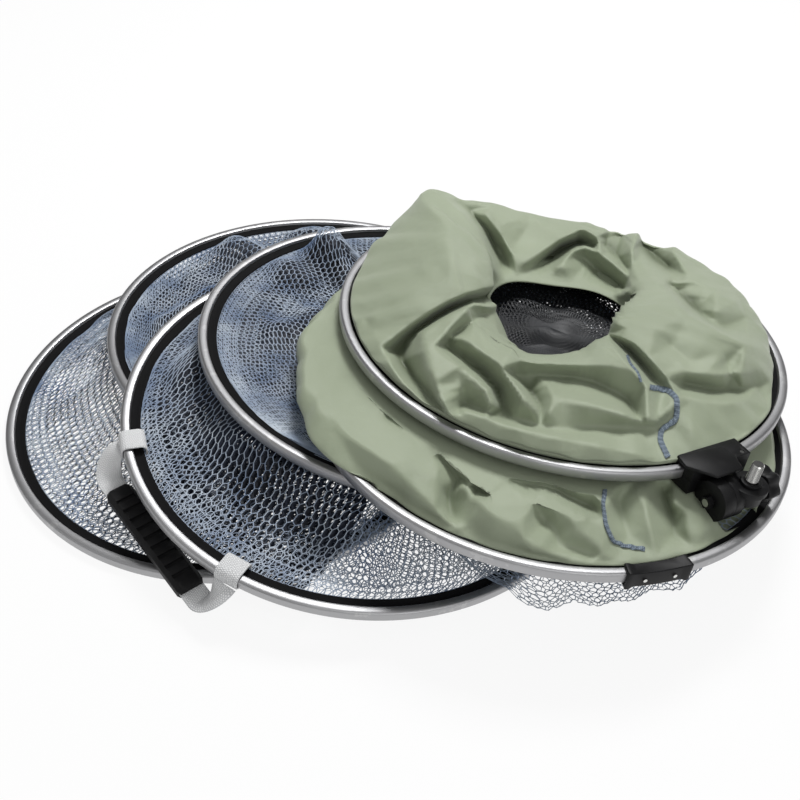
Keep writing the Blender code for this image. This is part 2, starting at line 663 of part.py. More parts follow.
def make_clamp(shop, frame):
    """The two halves of the clamp, the fixed toothed disc on the lower one, cover and screws."""
    channel = channel_cutter(shop)
    half = CLAMP_LENGTH / 2
    holes = bmesh.new()
    for number, (out, along) in enumerate(screw_places(), 1):
        under = (out, along, -CLAMP_HEIGHT - OVERRUN)
        over = (out, along, CLAMP_HEIGHT + OVERRUN)
        place = Matrix.Translation((out, along, 0))
        bmesh.ops.create_cone(holes, cap_ends=True, segments=12, radius1=CLAMP_SCREW_DIAMETER / 2 + CLEARANCE,
                              radius2=CLAMP_SCREW_DIAMETER / 2 + CLEARANCE, depth=over[2] - under[2],
                              matrix=place)
        head_top = -CLAMP_HEIGHT - CLEARANCE
        shank = cylinder_mesh(CLAMP_SCREW_DIAMETER, (out, along, head_top - CLAMP_SCREW_HEAD_HEIGHT / 2),
                              (out, along, CLAMP_HEIGHT - 2 * CLEARANCE), 12)
        screw = shop.keep(f"lock_clamp_screw_{number}", shank, shop.steel, frame)
        head = cylinder_mesh(CLAMP_SCREW_HEAD, (out, along, head_top - CLAMP_SCREW_HEAD_HEIGHT),
                             (out, along, head_top), 12)
        boolean(screw, shop.keep(f"clamp_screw_head_{number}", head, None, frame, cutter=True), "UNION")
    hole_cutter = shop.keep("clamp_holes", holes, None, frame, cutter=True)

    upper = box_mesh((-CLAMP_INNER, -half, CLEARANCE / 2), (CLAMP_OUTER, half, CLAMP_HEIGHT - CLEARANCE))
    upper = shop.keep("lock_clamp_upper", upper, shop.plastic, frame)
    boolean(upper, channel, "DIFFERENCE")
    boolean(upper, hole_cutter, "DIFFERENCE")

    lower = box_mesh((-CLAMP_INNER, -half, -CLAMP_HEIGHT), (CLAMP_OUTER, half, -CLEARANCE / 2))
    lower = shop.keep("lock_clamp_lower", lower, shop.plastic, frame)
    boolean(lower, channel, "DIFFERENCE")
    boolean(lower, hole_cutter, "DIFFERENCE")
    disc_end = -DISC_FROM + FIXED_DISC_LENGTH
    disc = cylinder_mesh(DISC_DIAMETER, (PIVOT_OUT, -DISC_FROM, -PIVOT_DROP),
                         (PIVOT_OUT, disc_end, -PIVOT_DROP), 32)
    boolean(lower, shop.keep("fixed_disc", disc, None, frame, cutter=True), "UNION")
    web = box_mesh((CLAMP_OUTER - OVERRUN, -DISC_FROM + CLEARANCE, -CLAMP_HEIGHT + CLEARANCE),
                   (PIVOT_OUT, disc_end - CLEARANCE, -CLEARANCE))
    boolean(lower, shop.keep("disc_web", web, None, frame, cutter=True), "UNION")
    bore = cylinder_mesh(BOLT_DIAMETER + 2 * CLEARANCE, (PIVOT_OUT, -DISC_FROM - OVERRUN, -PIVOT_DROP),
                         (PIVOT_OUT, disc_end + OVERRUN, -PIVOT_DROP))
    boolean(lower, shop.keep("fixed_disc_bore", bore, None, frame, cutter=True), "DIFFERENCE")
    make_cover(shop, frame)


def make_cover(shop, frame):
    """The angular top plate over the clamp."""
    reach = PIVOT_OUT - PIVOT_DROP / 4
    corners = [
        (-CLAMP_INNER * 0.72, -CLAMP_LENGTH * 0.58), (CLAMP_INNER, -CLAMP_LENGTH * 0.62),
        (reach, -CLAMP_LENGTH * 0.34), (reach, CLAMP_LENGTH * 0.10),
        (CLAMP_OUTER, CLAMP_LENGTH * 0.20), (-CLAMP_INNER * 0.2, CLAMP_LENGTH * 0.16),
    ]
    rings = [[(x, y, z) for x, y in corners] for z in (CLAMP_HEIGHT, CLAMP_HEIGHT + COVER_THICKNESS)]
    shop.keep("lock_cover", loft(rings), shop.plastic, frame)


def make_barrel(shop, frame):
    """The turning half: toothed disc, barrel and flange for the stud."""
    start = -DISC_FROM + FIXED_DISC_LENGTH + CLEARANCE
    disc = cylinder_mesh(DISC_DIAMETER, (PIVOT_OUT, start, -PIVOT_DROP),
                         (PIVOT_OUT, start + BARREL_DISC_LENGTH, -PIVOT_DROP), 32)
    item = shop.keep("lock_barrel", disc, shop.plastic, frame)
    body = cylinder_mesh(BARREL_DIAMETER, (PIVOT_OUT, start + OVERRUN, -PIVOT_DROP),
                         (PIVOT_OUT, start + BARREL_LENGTH, -PIVOT_DROP))
    boolean(item, shop.keep("barrel_body", body, None, frame, cutter=True), "UNION")
    stem = cylinder_mesh(BARREL_DIAMETER - OVERRUN, (FLANGE_OUT, FLANGE_ALONG, -PIVOT_DROP),
                         (FLANGE_OUT, FLANGE_ALONG, FLANGE_HEIGHT - FLANGE_THICKNESS / 2))
    boolean(item, shop.keep("barrel_stem", stem, None, frame, cutter=True), "UNION")
    flange = cylinder_mesh(FLANGE_DIAMETER, (FLANGE_OUT, FLANGE_ALONG, FLANGE_HEIGHT - FLANGE_THICKNESS),
                           (FLANGE_OUT, FLANGE_ALONG, FLANGE_HEIGHT))
    boolean(item, shop.keep("barrel_flange", flange, None, frame, cutter=True), "UNION")
    bore = cylinder_mesh(BOLT_DIAMETER + 2 * CLEARANCE, (PIVOT_OUT, start - OVERRUN, -PIVOT_DROP),
                         (PIVOT_OUT, start + BARREL_LENGTH + OVERRUN, -PIVOT_DROP))
    boolean(item, shop.keep("barrel_bore", bore, None, frame, cutter=True), "DIFFERENCE")
    seat_depth = FLANGE_HEIGHT - STUD_ROOT + CLEARANCE
    socket = cylinder_mesh(STUD_DIAMETER + 2 * CLEARANCE, (FLANGE_OUT, FLANGE_ALONG, seat_depth - CLEARANCE),
                           (FLANGE_OUT, FLANGE_ALONG, FLANGE_HEIGHT + OVERRUN))
    boolean(item, shop.keep("barrel_socket", socket, None, frame, cutter=True), "DIFFERENCE")
    make_collar(shop, frame)
    make_stud(shop, frame, seat_depth)


def make_collar(shop, frame):
    """The ring round the stud, which the bank stick screws down to."""
    inner = STUD_DIAMETER / 2 + CLEARANCE
    outer = COLLAR_DIAMETER / 2
    low = FLANGE_HEIGHT + CLEARANCE
    profile = [(outer, low + COLLAR_HEIGHT), (outer, low), (inner, low), (inner, low + COLLAR_HEIGHT)]
    place = frame @ Matrix.Translation((FLANGE_OUT, FLANGE_ALONG, 0))
    ring = turned_ring(shop, "lock_stud_collar", profile, shop.rubber, place)
    ring.modifiers["turn"].steps = ring.modifiers["turn"].render_steps = 24


def make_stud(shop, frame, low):
    """The threaded stud, its thread as rings of one pitch."""
    crest, root = STUD_DIAMETER / 2, STUD_DIAMETER / 2 - THREAD_DEPTH
    start = FLANGE_HEIGHT + CLEARANCE + COLLAR_HEIGHT + THREAD_PITCH
    end = FLANGE_HEIGHT + STUD_LENGTH
    turns = int((end - start) / THREAD_PITCH)
    outline = [(0, low), (crest, low), (crest, start)]
    for turn in range(turns):
        base = start + turn * THREAD_PITCH
        outline += [(root, base + THREAD_PITCH / 2), (crest, base + THREAD_PITCH)]
    top = start + turns * THREAD_PITCH
    outline += [(root, top + THREAD_DEPTH), (0, top + THREAD_DEPTH)]
    bm = bmesh.new()
    verts = [bm.verts.new((r, 0, z)) for r, z in reversed(outline)]
    for a, b in zip(verts, verts[1:]):
        bm.edges.new((a, b))
    place = frame @ Matrix.Translation((FLANGE_OUT, FLANGE_ALONG, 0))
    item = shop.keep("lock_stud", bm, shop.steel, place)
    screw = item.modifiers.new("turn", "SCREW")
    screw.axis = "Z"
    screw.steps = screw.render_steps = 16
    screw.use_merge_vertices = True
    screw.merge_threshold = 0.00005


def make_knob(shop, frame):
    """The star knob, the bolt that it turns, and the nut in the fixed disc."""
    start = -DISC_FROM + FIXED_DISC_LENGTH + 2 * CLEARANCE + BARREL_LENGTH
    grip = start + KNOB_HUB_LENGTH
    end = grip + KNOB_LENGTH
    place = frame @ Matrix.Translation((PIVOT_OUT, 0, -PIVOT_DROP))
    count = KNOB_LOBES * 6
    rings = []
    for along, swell in ((grip, 0.94), (grip + KNOB_LENGTH * 0.15, 1.0),
                         (end - KNOB_LENGTH * 0.15, 1.0), (end, 0.92)):
        ring = []
        for i in range(count):
            angle = math.tau * i / count
            lobe = 0.5 + 0.5 * math.cos(KNOB_LOBES * angle)
            radius = KNOB_DIAMETER / 2 * (KNOB_WAIST_SHARE + (1 - KNOB_WAIST_SHARE) * lobe) * swell
            ring.append((radius * math.cos(angle), along, radius * math.sin(angle)))
        rings.append(ring)
    knob = shop.keep("lock_knob", loft(rings), shop.plastic, place)
    hub = cylinder_mesh(KNOB_HUB_DIAMETER, (0, start, 0), (0, grip + OVERRUN, 0))
    boolean(knob, shop.keep("knob_hub", hub, None, place, cutter=True), "UNION")
    bore = cylinder_mesh(BOLT_DIAMETER + 2 * CLEARANCE, (0, start - OVERRUN, 0), (0, end + OVERRUN, 0))
    boolean(knob, shop.keep("knob_bore", bore, None, place, cutter=True), "DIFFERENCE")
    bolt_start = -DISC_FROM - NUT_HEIGHT
    bolt = cylinder_mesh(BOLT_DIAMETER, (0, bolt_start, 0), (0, end - CLEARANCE, 0), 20)
    shop.keep("lock_pivot_bolt", bolt, shop.steel, place)
    nut = cylinder_mesh(NUT_WIDTH, (0, -DISC_FROM - NUT_HEIGHT, 0), (0, -DISC_FROM - CLEARANCE, 0), 6)
    nut = shop.keep("lock_bolt_nut", nut, shop.steel, place)
    hole = cylinder_mesh(BOLT_DIAMETER + 2 * CLEARANCE, (0, bolt_start - OVERRUN, 0), (0, -DISC_FROM + OVERRUN, 0))
    boolean(nut, shop.keep("nut_hole", hole, None, place, cutter=True), "DIFFERENCE")


# Carrying handle

def loop_mesh(azimuth):
    """One sewn loop of webbing round the section of hoop 3 and its band."""
    middle = centre_radius(HANDLE_HOOP)
    low, high = middle - LOOP_INNER, middle + HOOP_WIDTH / 2 + LOOP_SLACK
    half = HOOP_HEIGHT / 2 + LOOP_SLACK
    frame = hoop_frame(HANDLE_HOOP) @ Matrix.Rotation(math.radians(azimuth), 4, "Z")
    thick = WEBBING_THICKNESS
    rows = []
    for grow in (0, thick):
        corner = half * 0.6
        left, right, up = low - grow, high + grow, half + grow
        row = [
            (left, up - corner), (left + corner, up), (right - corner, up), (right, up - corner),
            (right, corner - up), (right - corner, -up), (left + corner, -up), (left, corner - up),
        ]
        rows.append(row)
    inner, outer = rows
    half_width = WEBBING_WIDTH / 2
    rings = []
    for i in range(len(inner)):
        rings.append([
            frame @ Vector((inner[i][0], -half_width, inner[i][1])),
            frame @ Vector((inner[i][0], half_width, inner[i][1])),
            frame @ Vector((outer[i][0], half_width, outer[i][1])),
            frame @ Vector((outer[i][0], -half_width, outer[i][1])),
        ])
    return loft(rings, closed=True)


def ribbon_mesh(stations):
    """A flat strap through stations of (point, width direction)."""
    rings = []
    for i, (point, width) in enumerate(stations):
        before = stations[max(i - 1, 0)][0]
        after = stations[min(i + 1, len(stations) - 1)][0]
        along = (after - before).normalized()
        side = (width - along * width.dot(along)).normalized() * (WEBBING_WIDTH / 2)
        face = along.cross(side).normalized() * (WEBBING_THICKNESS / 2)
        rings.append([point - side - face, point + side - face, point + side + face, point - side + face])
    return loft(rings)


def strap_route(frame):
    """The strap's stations: out of one loop, round into the grip, and out again to the other."""
    edge = centre_radius(HANDLE_HOOP) + HOOP_WIDTH / 2 + LOOP_SLACK + WEBBING_THICKNESS / 2
    lean = math.radians(HANDLE_TO - HANDLE_FROM) / 2
    into_frame = frame.inverted()
    stations = []
    for azimuth, way in ((HANDLE_FROM, 1), (HANDLE_TO, -1)):
        start = into_frame @ rim_point(HANDLE_HOOP, azimuth, edge, -HOOP_HEIGHT / 2)
        bend = (GRIP_REACH - start.x) / (1 + math.sin(lean))
        bent = []
        for step in range(STRAP_BEND_STEPS + 1):
            share = step / STRAP_BEND_STEPS
            turn = (math.pi / 2 + lean) * share - lean
            x = start.x + bend * (math.sin(turn) + math.sin(lean))
            y = start.y + way * bend * (math.cos(lean) - math.cos(turn))
            z = start.z - (GRIP_DROP + start.z) * share * share * (3 - 2 * share)
            side = Vector((-math.sin(turn), way * math.cos(turn), 0))
            bent.append((frame @ Vector((x, y, z)), frame.to_3x3() @ side))
        stations.append(bent)
    return stations[0] + list(reversed(stations[1]))


def make_handle(shop):
    """Webbing strap with its two loops, and the slotted rubber grip."""
    frame = handle_frame()
    route = strap_route(frame)
    strap = shop.keep("handle_strap", ribbon_mesh(route), shop.webbing)
    for name, azimuth in (("loop_upper", HANDLE_FROM), ("loop_lower", HANDLE_TO)):
        boolean(strap, shop.keep(name, loop_mesh(azimuth), None, cutter=True), "UNION")

    half, width, thick = GRIP_LENGTH / 2, GRIP_WIDTH / 2, GRIP_THICKNESS / 2
    corner = thick * 0.5
    outline = [
        (width - corner, thick), (width, thick - corner), (width, corner - thick), (width - corner, -thick),
        (corner - width, -thick), (-width, corner - thick), (-width, thick - corner), (corner - width, thick),
    ]
    place = frame @ Matrix.Translation((GRIP_REACH, 0, -GRIP_DROP))
    rings = []
    for along, swell in ((-half, 0.86), (-half * 0.94, 1.0), (half * 0.94, 1.0), (half, 0.86)):
        rings.append([(x * swell, along, z * swell) for x, z in outline])
    grip = shop.keep("handle_grip", loft(rings), shop.rubber, place)
    slot_half = WEBBING_WIDTH / 2 + CLEARANCE
    slot_thick = WEBBING_THICKNESS / 2 + CLEARANCE
    slot = box_mesh((-slot_half, -half - OVERRUN, -slot_thick), (slot_half, half + OVERRUN, slot_thick))
    boolean(grip, shop.keep("grip_slot", slot, None, place, cutter=True), "DIFFERENCE")
    grooves = bmesh.new()
    for i in range(GRIP_SLOTS):
        along = GRIP_LENGTH * 0.84 * ((i + 0.5) / GRIP_SLOTS - 0.5)
        scale = Matrix.Diagonal((GRIP_WIDTH * 0.72, GRIP_SLOT_WIDTH, GRIP_SLOT_DEPTH * 2, 1))
        centre = Matrix.Translation((0, along, thick))
        bmesh.ops.create_cube(grooves, size=1, matrix=centre @ scale)
    boolean(grip, shop.keep("grip_grooves", grooves, None, place, cutter=True), "DIFFERENCE")


def main():
    clear_scene()
    shop = Shop()
    make_hoops(shop)
    make_joiner(shop)
    make_base_net(shop)
    make_panels(shop)
    make_slack(shop)
    make_sleeve(shop)
    frame = lock_frame()
    make_clamp(shop, frame)
    make_barrel(shop, frame)
    make_knob(shop, frame)
    make_handle(shop)


main()
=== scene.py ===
"""Looks of the folded keep net: hoops and bands, knotless net walls, nylon sleeve, angle lock, handle."""

import json
import logging
import math
from dataclasses import dataclass, field
from enum import Enum
from typing import Any, Sequence

import bpy
import numpy as np
from mathutils import Matrix, Vector, geometry, noise

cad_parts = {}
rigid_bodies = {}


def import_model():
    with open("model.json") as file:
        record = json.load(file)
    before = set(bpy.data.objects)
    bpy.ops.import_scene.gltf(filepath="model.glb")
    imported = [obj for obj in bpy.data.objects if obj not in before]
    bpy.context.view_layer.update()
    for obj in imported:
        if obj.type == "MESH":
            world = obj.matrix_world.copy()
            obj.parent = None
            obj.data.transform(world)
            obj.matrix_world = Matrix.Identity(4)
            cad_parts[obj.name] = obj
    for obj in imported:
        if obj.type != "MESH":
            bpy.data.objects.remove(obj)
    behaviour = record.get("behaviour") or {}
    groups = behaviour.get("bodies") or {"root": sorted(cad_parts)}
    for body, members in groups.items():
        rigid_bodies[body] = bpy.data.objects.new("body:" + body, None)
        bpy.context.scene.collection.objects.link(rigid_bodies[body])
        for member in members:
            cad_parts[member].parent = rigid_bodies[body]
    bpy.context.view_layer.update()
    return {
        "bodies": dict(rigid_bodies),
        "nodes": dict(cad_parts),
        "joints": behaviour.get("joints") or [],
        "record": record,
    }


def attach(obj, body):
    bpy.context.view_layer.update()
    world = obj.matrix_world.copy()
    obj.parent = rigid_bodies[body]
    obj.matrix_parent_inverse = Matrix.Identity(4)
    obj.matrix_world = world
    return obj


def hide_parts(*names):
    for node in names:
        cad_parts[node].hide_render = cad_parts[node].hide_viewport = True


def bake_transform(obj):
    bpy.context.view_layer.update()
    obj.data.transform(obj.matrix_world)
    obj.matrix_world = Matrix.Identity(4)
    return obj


LOG = logging.getLogger("keep_net")
Colour = tuple[float, float, float]
Grid = np.ndarray
Ring = tuple[float, ...]
Amount = float | np.ndarray
Item = bpy.types.Object
Material = bpy.types.Material


# Shader graph


class Wire:
    """A node's output socket that can be used in an expression."""

    def __init__(self, graph: "Graph", socket: bpy.types.NodeSocket) -> None:
        """Remember the graph and the socket."""
        self.graph = graph
        self.socket = socket

    def math(self, operation: str, *values: Any) -> "Wire":
        """Add a Math node.

        Args:
            operation: Blender's name of the operation.
            values: the values or wires of its sockets, in order.

        Returns:
            The node's output.
        """
        return self.graph.node("ShaderNodeMath", {"operation": operation}, dict(enumerate(values)))

    def __add__(self, other: Any) -> "Wire":
        """Sum of both."""
        return self.math("ADD", self, other)

    def __sub__(self, other: Any) -> "Wire":
        """Difference of both."""
        return self.math("SUBTRACT", self, other)

    def __rsub__(self, other: Any) -> "Wire":
        """Difference, with the number first."""
        return self.math("SUBTRACT", other, self)

    def __mul__(self, other: Any) -> "Wire":
        """Product of both."""
        return self.math("MULTIPLY", self, other)

    __radd__ = __add__
    __rmul__ = __mul__

    def above(self, level: float) -> "Wire":
        """One where the value is over a level."""
        return self.math("GREATER_THAN", self, level)

    def most(self, other: Any) -> "Wire":
        """The larger of both."""
        return self.math("MAXIMUM", self, other)

    def size(self) -> "Wire":
        """The value without its sign."""
        return self.math("ABSOLUTE", self)

    def wave(self) -> "Wire":
        """Sine of the value."""
        return self.math("SINE", self)

    def beside(self, out: Any) -> "Wire":
        """Another output of the same node."""
        return Wire(self.graph, self.socket.node.outputs[out])


class Graph:
    """A node tree, built from expressions."""

    def __init__(self, tree: bpy.types.NodeTree) -> None:
        """Remember the tree."""
        self.tree = tree

    def node(self, kind: str, settings: dict[str, Any], sockets: dict[Any, Any], out: Any = 0) -> Wire:
        """Add one node.

        Args:
            kind: Blender's node type.
            settings: properties, set before the sockets.
            sockets: values or wires by input name or number.
            out: name or number of the output that is used.

        Returns:
            The wire of that output.
        """
        made = self.tree.nodes.new(kind)
        for name, value in settings.items():
            setattr(made, name, value)
        for name, value in sockets.items():
            self.feed(made.inputs[name], value)
        return Wire(self, made.outputs[out])

    def feed(self, socket: bpy.types.NodeSocket, value: Any) -> None:
        """Link a wire to a socket, or set its value. A tuple is a colour.

        Args:
            socket: the input.
            value: a wire, a number or a colour.
        """
        if isinstance(value, Wire):
            self.tree.links.new(value.socket, socket)
        else:
            socket.default_value = (*value, 1.0) if isinstance(value, tuple) else value

    def place(self, out: str = "Object") -> Wire:
        """Coordinates: Object, the piece's UV, or Generated for a direction of the sky."""
        return self.node("ShaderNodeTexCoord", {}, {}, out)

    def split(self, vector: Wire) -> tuple[Wire, Wire, Wire]:
        """The three numbers of a vector."""
        made = self.node("ShaderNodeSeparateXYZ", {}, {0: vector})
        return made, made.beside(1), made.beside(2)

    def spread(self, value: Wire, source: tuple[float, float], target: tuple[float, float]) -> Wire:
        """A value carried from one range to another and held inside it."""
        ends = {"From Min": source[0], "From Max": source[1], "To Min": target[0], "To Max": target[1]}
        return self.node("ShaderNodeMapRange", {}, {"Value": value, **ends})


class Paint(Graph):
    """The nodes of a new material, round its Principled shader."""

    def __init__(self, name: str) -> None:
        """Make the material.

        Args:
            name: the material's name.
        """
        self.material = bpy.data.materials.new(name)
        self.material.use_nodes = True
        super().__init__(self.material.node_tree)
        self.shader = self.tree.nodes["Principled BSDF"]

    def noise(self, scale: float, detail: float = 3.0) -> Wire:
        """Noise of a scale on Object coordinates."""
        sockets = {"Vector": self.place(), "Scale": scale, "Detail": detail}
        return self.node("ShaderNodeTexNoise", {}, sockets, "Fac")

    def blend(self, share: Any, first: Any, second: Any) -> Wire:
        """A colour between two, by a share."""
        return self.node("ShaderNodeMix", {"data_type": "RGBA"}, {0: share, 6: first, 7: second}, 2)

    def relief(self, height: Wire, depth: float, strength: float) -> None:
        """Feed the shader's normal from a height, in metres of depth."""
        sockets = {"Height": height, "Distance": depth, "Strength": strength}
        self.set(Normal=self.node("ShaderNodeBump", {}, sockets, "Normal"))

    def set(self, **sockets: Any) -> None:
        """Feed the shader's sockets by name, with _ for a space."""
        for name, value in sockets.items():
            self.feed(self.shader.inputs[name.replace("_", " ")], value)


# Finishes


class Look:
    """What every finish does."""

    def make(self, name: str) -> Material:
        """Make the material.

        Args:
            name: the material's name.

        Returns:
            The material.
        """
        paint = Paint(name)
        self.dress(paint)
        return paint.material

    def dress(self, paint: Paint) -> None:
        """Lay out the nodes of a new material.

        Args:
            paint: the material's nodes.
        """
        raise NotImplementedError


@dataclass(frozen=True)
class Aluminium(Look):
    """Satin anodised tube, with fine drawn lines and rubbed places."""

    colour: Colour = (0.40, 0.40, 0.41)
    worn: Colour = (0.52, 0.52, 0.52)
    roughness: float = 0.44
    cloud_scale: float = 14.0
    grain_scale: float = 1400.0
    rub_scale: float = 60.0
    rub_level: float = 0.62

    def dress(self, paint: Paint) -> None:
        """Lay out the nodes of a new material.

        Args:
            paint: the material's nodes.
        """
        cloud, grain = paint.noise(self.cloud_scale, 4.0), paint.noise(self.grain_scale, 2.0)
        rubbed = paint.noise(self.rub_scale, 5.0).above(self.rub_level)
        paint.set(Base_Color=paint.blend(rubbed * 0.5 + cloud * 0.3, self.colour, self.worn), Metallic=1.0,
                  Roughness=cloud * 0.14 + grain * 0.10 + (self.roughness - 0.10))
        paint.relief(grain, 0.00004, 0.5)


@dataclass(frozen=True)
class Moulded(Look):
    """Black moulded plastic or rubber with a fine grain and paler rubbed places."""

    colour: Colour = (0.0045, 0.0045, 0.005)
    scuff: Colour = (0.018, 0.018, 0.019)
    roughness: float = 0.46
    gloss: float = 0.22
    grain_scale: float = 2200.0
    cloud_scale: float = 45.0
    depth: float = 0.00006

    def dress(self, paint: Paint) -> None:
        """Lay out the nodes of a new material.

        Args:
            paint: the material's nodes.
        """
        grain, cloud = paint.noise(self.grain_scale, 2.0), paint.noise(self.cloud_scale, 5.0)
        paint.set(Base_Color=paint.blend((cloud - 0.45).most(0.0) * 1.6, self.colour, self.scuff),
                  Roughness=cloud * 0.16 + grain * 0.08 + (self.roughness - 0.10),
                  Specular_IOR_Level=self.gloss)
        paint.relief(grain, self.depth, 0.6)


@dataclass(frozen=True)
class Steel(Look):
    """Bright turned stainless steel."""

    colour: Colour = (0.72, 0.72, 0.70)
    shade: Colour = (0.5, 0.5, 0.49)
    roughness: float = 0.14
    grain_scale: float = 900.0

    def dress(self, paint: Paint) -> None:
        """Lay out the nodes of a new material.

        Args:
            paint: the material's nodes.
        """
        grain = paint.noise(self.grain_scale)
        paint.set(Base_Color=paint.blend(grain * 0.4, self.colour, self.shade), Metallic=1.0,
                  Roughness=grain * 0.12 + self.roughness)
        paint.relief(grain, 0.00002, 0.4)


@dataclass(frozen=True)
class Strand(Look):
    """Knotless netting yarn."""

    colour: Colour
    shade: Colour
    roughness: float = 0.45
    patch_scale: float = 26.0
    fibre_scale: float = 1500.0

    def dress(self, paint: Paint) -> None:
        """Lay out the nodes of a new material.

        Args:
            paint: the material's nodes.
        """
        patches, fibre = paint.noise(self.patch_scale), paint.noise(self.fibre_scale, 2.0)
        share = (patches * 2.2 - 0.6).most(0.0)
        paint.set(Base_Color=paint.blend(share, self.shade, self.colour),
                  Roughness=fibre * 0.2 + self.roughness)
        paint.relief(fibre, 0.0002, 0.6)


@dataclass(frozen=True)
class Nylon(Look):
    """Close plain-weave nylon with a soft sheen and fine crumples, with painted shade down in its folds.

    It reads the piece's UV, in metres, and the depth that the sleeve keeps as the attribute fold, which sets
    the painted shade.
    """

    colour: Colour = (0.268, 0.312, 0.212)
    pale: Colour = (0.345, 0.390, 0.280)
    # Colour of the painted shade in the fold valleys.
    shade: Colour = (0.120, 0.145, 0.085)
    roughness: float = 0.40
    sheen: float = 0.15
    yarn: float = 0.00055
    crumple_scale: float = 34.0
    cloud_scale: float = 9.0
    valley_level: float = 0.48
    painted_shade_share: float = 8.0

    def dress(self, paint: Paint) -> None:
        """Lay out the nodes of a new material.

        Args:
            paint: the material's nodes.
        """
        across, along, _ = paint.split(paint.place("UV"))
        turn = math.tau / self.yarn
        weave = (across * turn).wave() * (along * turn).wave()
        crumple, cloud = paint.noise(self.crumple_scale, 6.0), paint.noise(self.cloud_scale)
        cloth = paint.blend(cloud * 0.7 + weave * 0.12 + crumple * 0.2, self.colour, self.pale)
        fold = paint.node("ShaderNodeAttribute", {"attribute_name": "fold"}, {}, "Fac")
        # Painted shade: the cloth turns towards the shade colour where the fold depth is low, in the valleys.
        valley = (self.valley_level - fold).most(0.0)
        paint.set(Base_Color=paint.blend(valley * valley * self.painted_shade_share, cloth, self.shade),
                  Roughness=crumple * 0.12 + self.roughness, Sheen_Weight=self.sheen)
        paint.relief(crumple + weave * 0.02, 0.0035, 0.5)


@dataclass(frozen=True)
class Overlock(Look):
    """Looped seam thread in blue-grey with dark gaps. It reads the piece's UV, in metres."""

    colour: Colour = (0.34, 0.42, 0.50)
    gap: Colour = (0.045, 0.065, 0.10)
    pitch: float = 0.0022
    roughness: float = 0.6

    def dress(self, paint: Paint) -> None:
        """Lay out the nodes of a new material.

        Args:
            paint: the material's nodes.
        """
        across, along, _ = paint.split(paint.place("UV"))
        turn = math.tau / self.pitch
        leaning = (along * turn + (across * turn * 1.3).wave() * 2.2).wave()
        loops = leaning * (across * turn * 1.1 + along * turn * 0.5).wave()
        share = (loops * 0.6 + paint.noise(900.0, 2.0) * 0.9).most(0.0)
        paint.set(Base_Color=paint.blend(share, self.gap, self.colour),
                  Roughness=paint.noise(600.0) * 0.2 + self.roughness)
        paint.relief(loops, 0.0005, 0.8)


@dataclass(frozen=True)
class Webbing(Look):
    """Flat woven polypropylene tape. It reads the piece's UV, in metres."""

    colour: Colour = (0.90, 0.90, 0.90)
    shade: Colour = (0.56, 0.57, 0.58)
    pitch: float = 0.0016
    roughness: float = 0.6

    def dress(self, paint: Paint) -> None:
        """Lay out the nodes of a new material.

        Args:
            paint: the material's nodes.
        """
        across, along, _ = paint.split(paint.place("UV"))
        turn = math.tau / self.pitch
        ribs = (along * turn + (across * turn * 0.5).wave() * 1.5).wave() * 0.5 + 0.5
        height = ribs * (across * turn * 0.5).wave().size()
        paint.set(Base_Color=paint.blend(height, self.shade, self.colour),
                  Roughness=paint.noise(700.0) * 0.2 + self.roughness)
        paint.relief(height, 0.0004, 0.8)


@dataclass(frozen=True)
class Tape(Look):
    """Black binding tape, woven, on Object coordinates."""

    colour: Colour = (0.0022, 0.0022, 0.0025)
    pale: Colour = (0.008, 0.008, 0.009)
    roughness: float = 0.7
    gloss: float = 0.14
    weave_turn: float = 5200.0

    def dress(self, paint: Paint) -> None:
        """Lay out the nodes of a new material.

        Args:
            paint: the material's nodes.
        """
        x, y, z = paint.split(paint.place())
        turn, lean = self.weave_turn, z * (self.weave_turn / 2)
        weave = (x * turn + lean).wave() * (y * turn - lean).wave() * 0.5 + 0.5
        cloud = paint.noise(120.0, 4.0)
        paint.set(Base_Color=paint.blend(weave * 0.5 + cloud * 0.3, self.colour, self.pale),
                  Roughness=cloud * 0.2 + self.roughness, Specular_IOR_Level=self.gloss)
        paint.relief(weave, 0.0002, 0.5)


class Finish(Enum):
    """The record's material slots."""

    ALUMINIUM = "satin_aluminium"
    TAPE = "black_tape"
    NET = "blue_grey_net"
    DARK = "dark_net"
    NYLON = "sage_nylon"
    PLASTIC = "black_plastic"
    RUBBER = "black_rubber"
    WEBBING = "grey_webbing"
    STEEL = "stainless_steel"


LOOKS = {
    Finish.ALUMINIUM: Aluminium(),
    Finish.TAPE: Tape(),
    Finish.NET: Strand((0.46, 0.52, 0.59), (0.11, 0.17, 0.29)),
    Finish.DARK: Strand((0.018, 0.020, 0.024), (0.005, 0.006, 0.008)),
    Finish.NYLON: Nylon(),
    Finish.PLASTIC: Moulded(),
    Finish.RUBBER: Moulded(roughness=0.55, grain_scale=1200.0, depth=0.0001),
    Finish.WEBBING: Webbing(),
    Finish.STEEL: Steel(),
}


class Wardrobe:
    """One material for each finish, the net's yarn with painted shade for the layers under the drape, and the
    seams' thread.
    """

    def __init__(self) -> None:
        """Make the materials."""
        self.of = {finish: look.make(finish.value) for finish, look in LOOKS.items()}
        # Painted shade: the same net's yarn coloured near black, for the layers that lie in shade under the
        # drape.
        self.painted_shade_layer = Strand((0.016, 0.025, 0.050), (0.003, 0.005, 0.010)).make("net_painted_shade")
        self.seam = Overlock().make("overlock_thread")


# Hoop geometry, in metres


HOOP_HEIGHT = 0.0095
HOOP_WIDTH = 0.008
HOOP_SPAN = 0.400
BAND_WIDTH = 0.008
# Room between a band's bead and its groove.
CLEARANCE = 0.0003
# Heights that netting keeps from a hoop's metal and from the floor.
HOOP_GAP = 0.0008
FLOOR_GAP = 0.0016


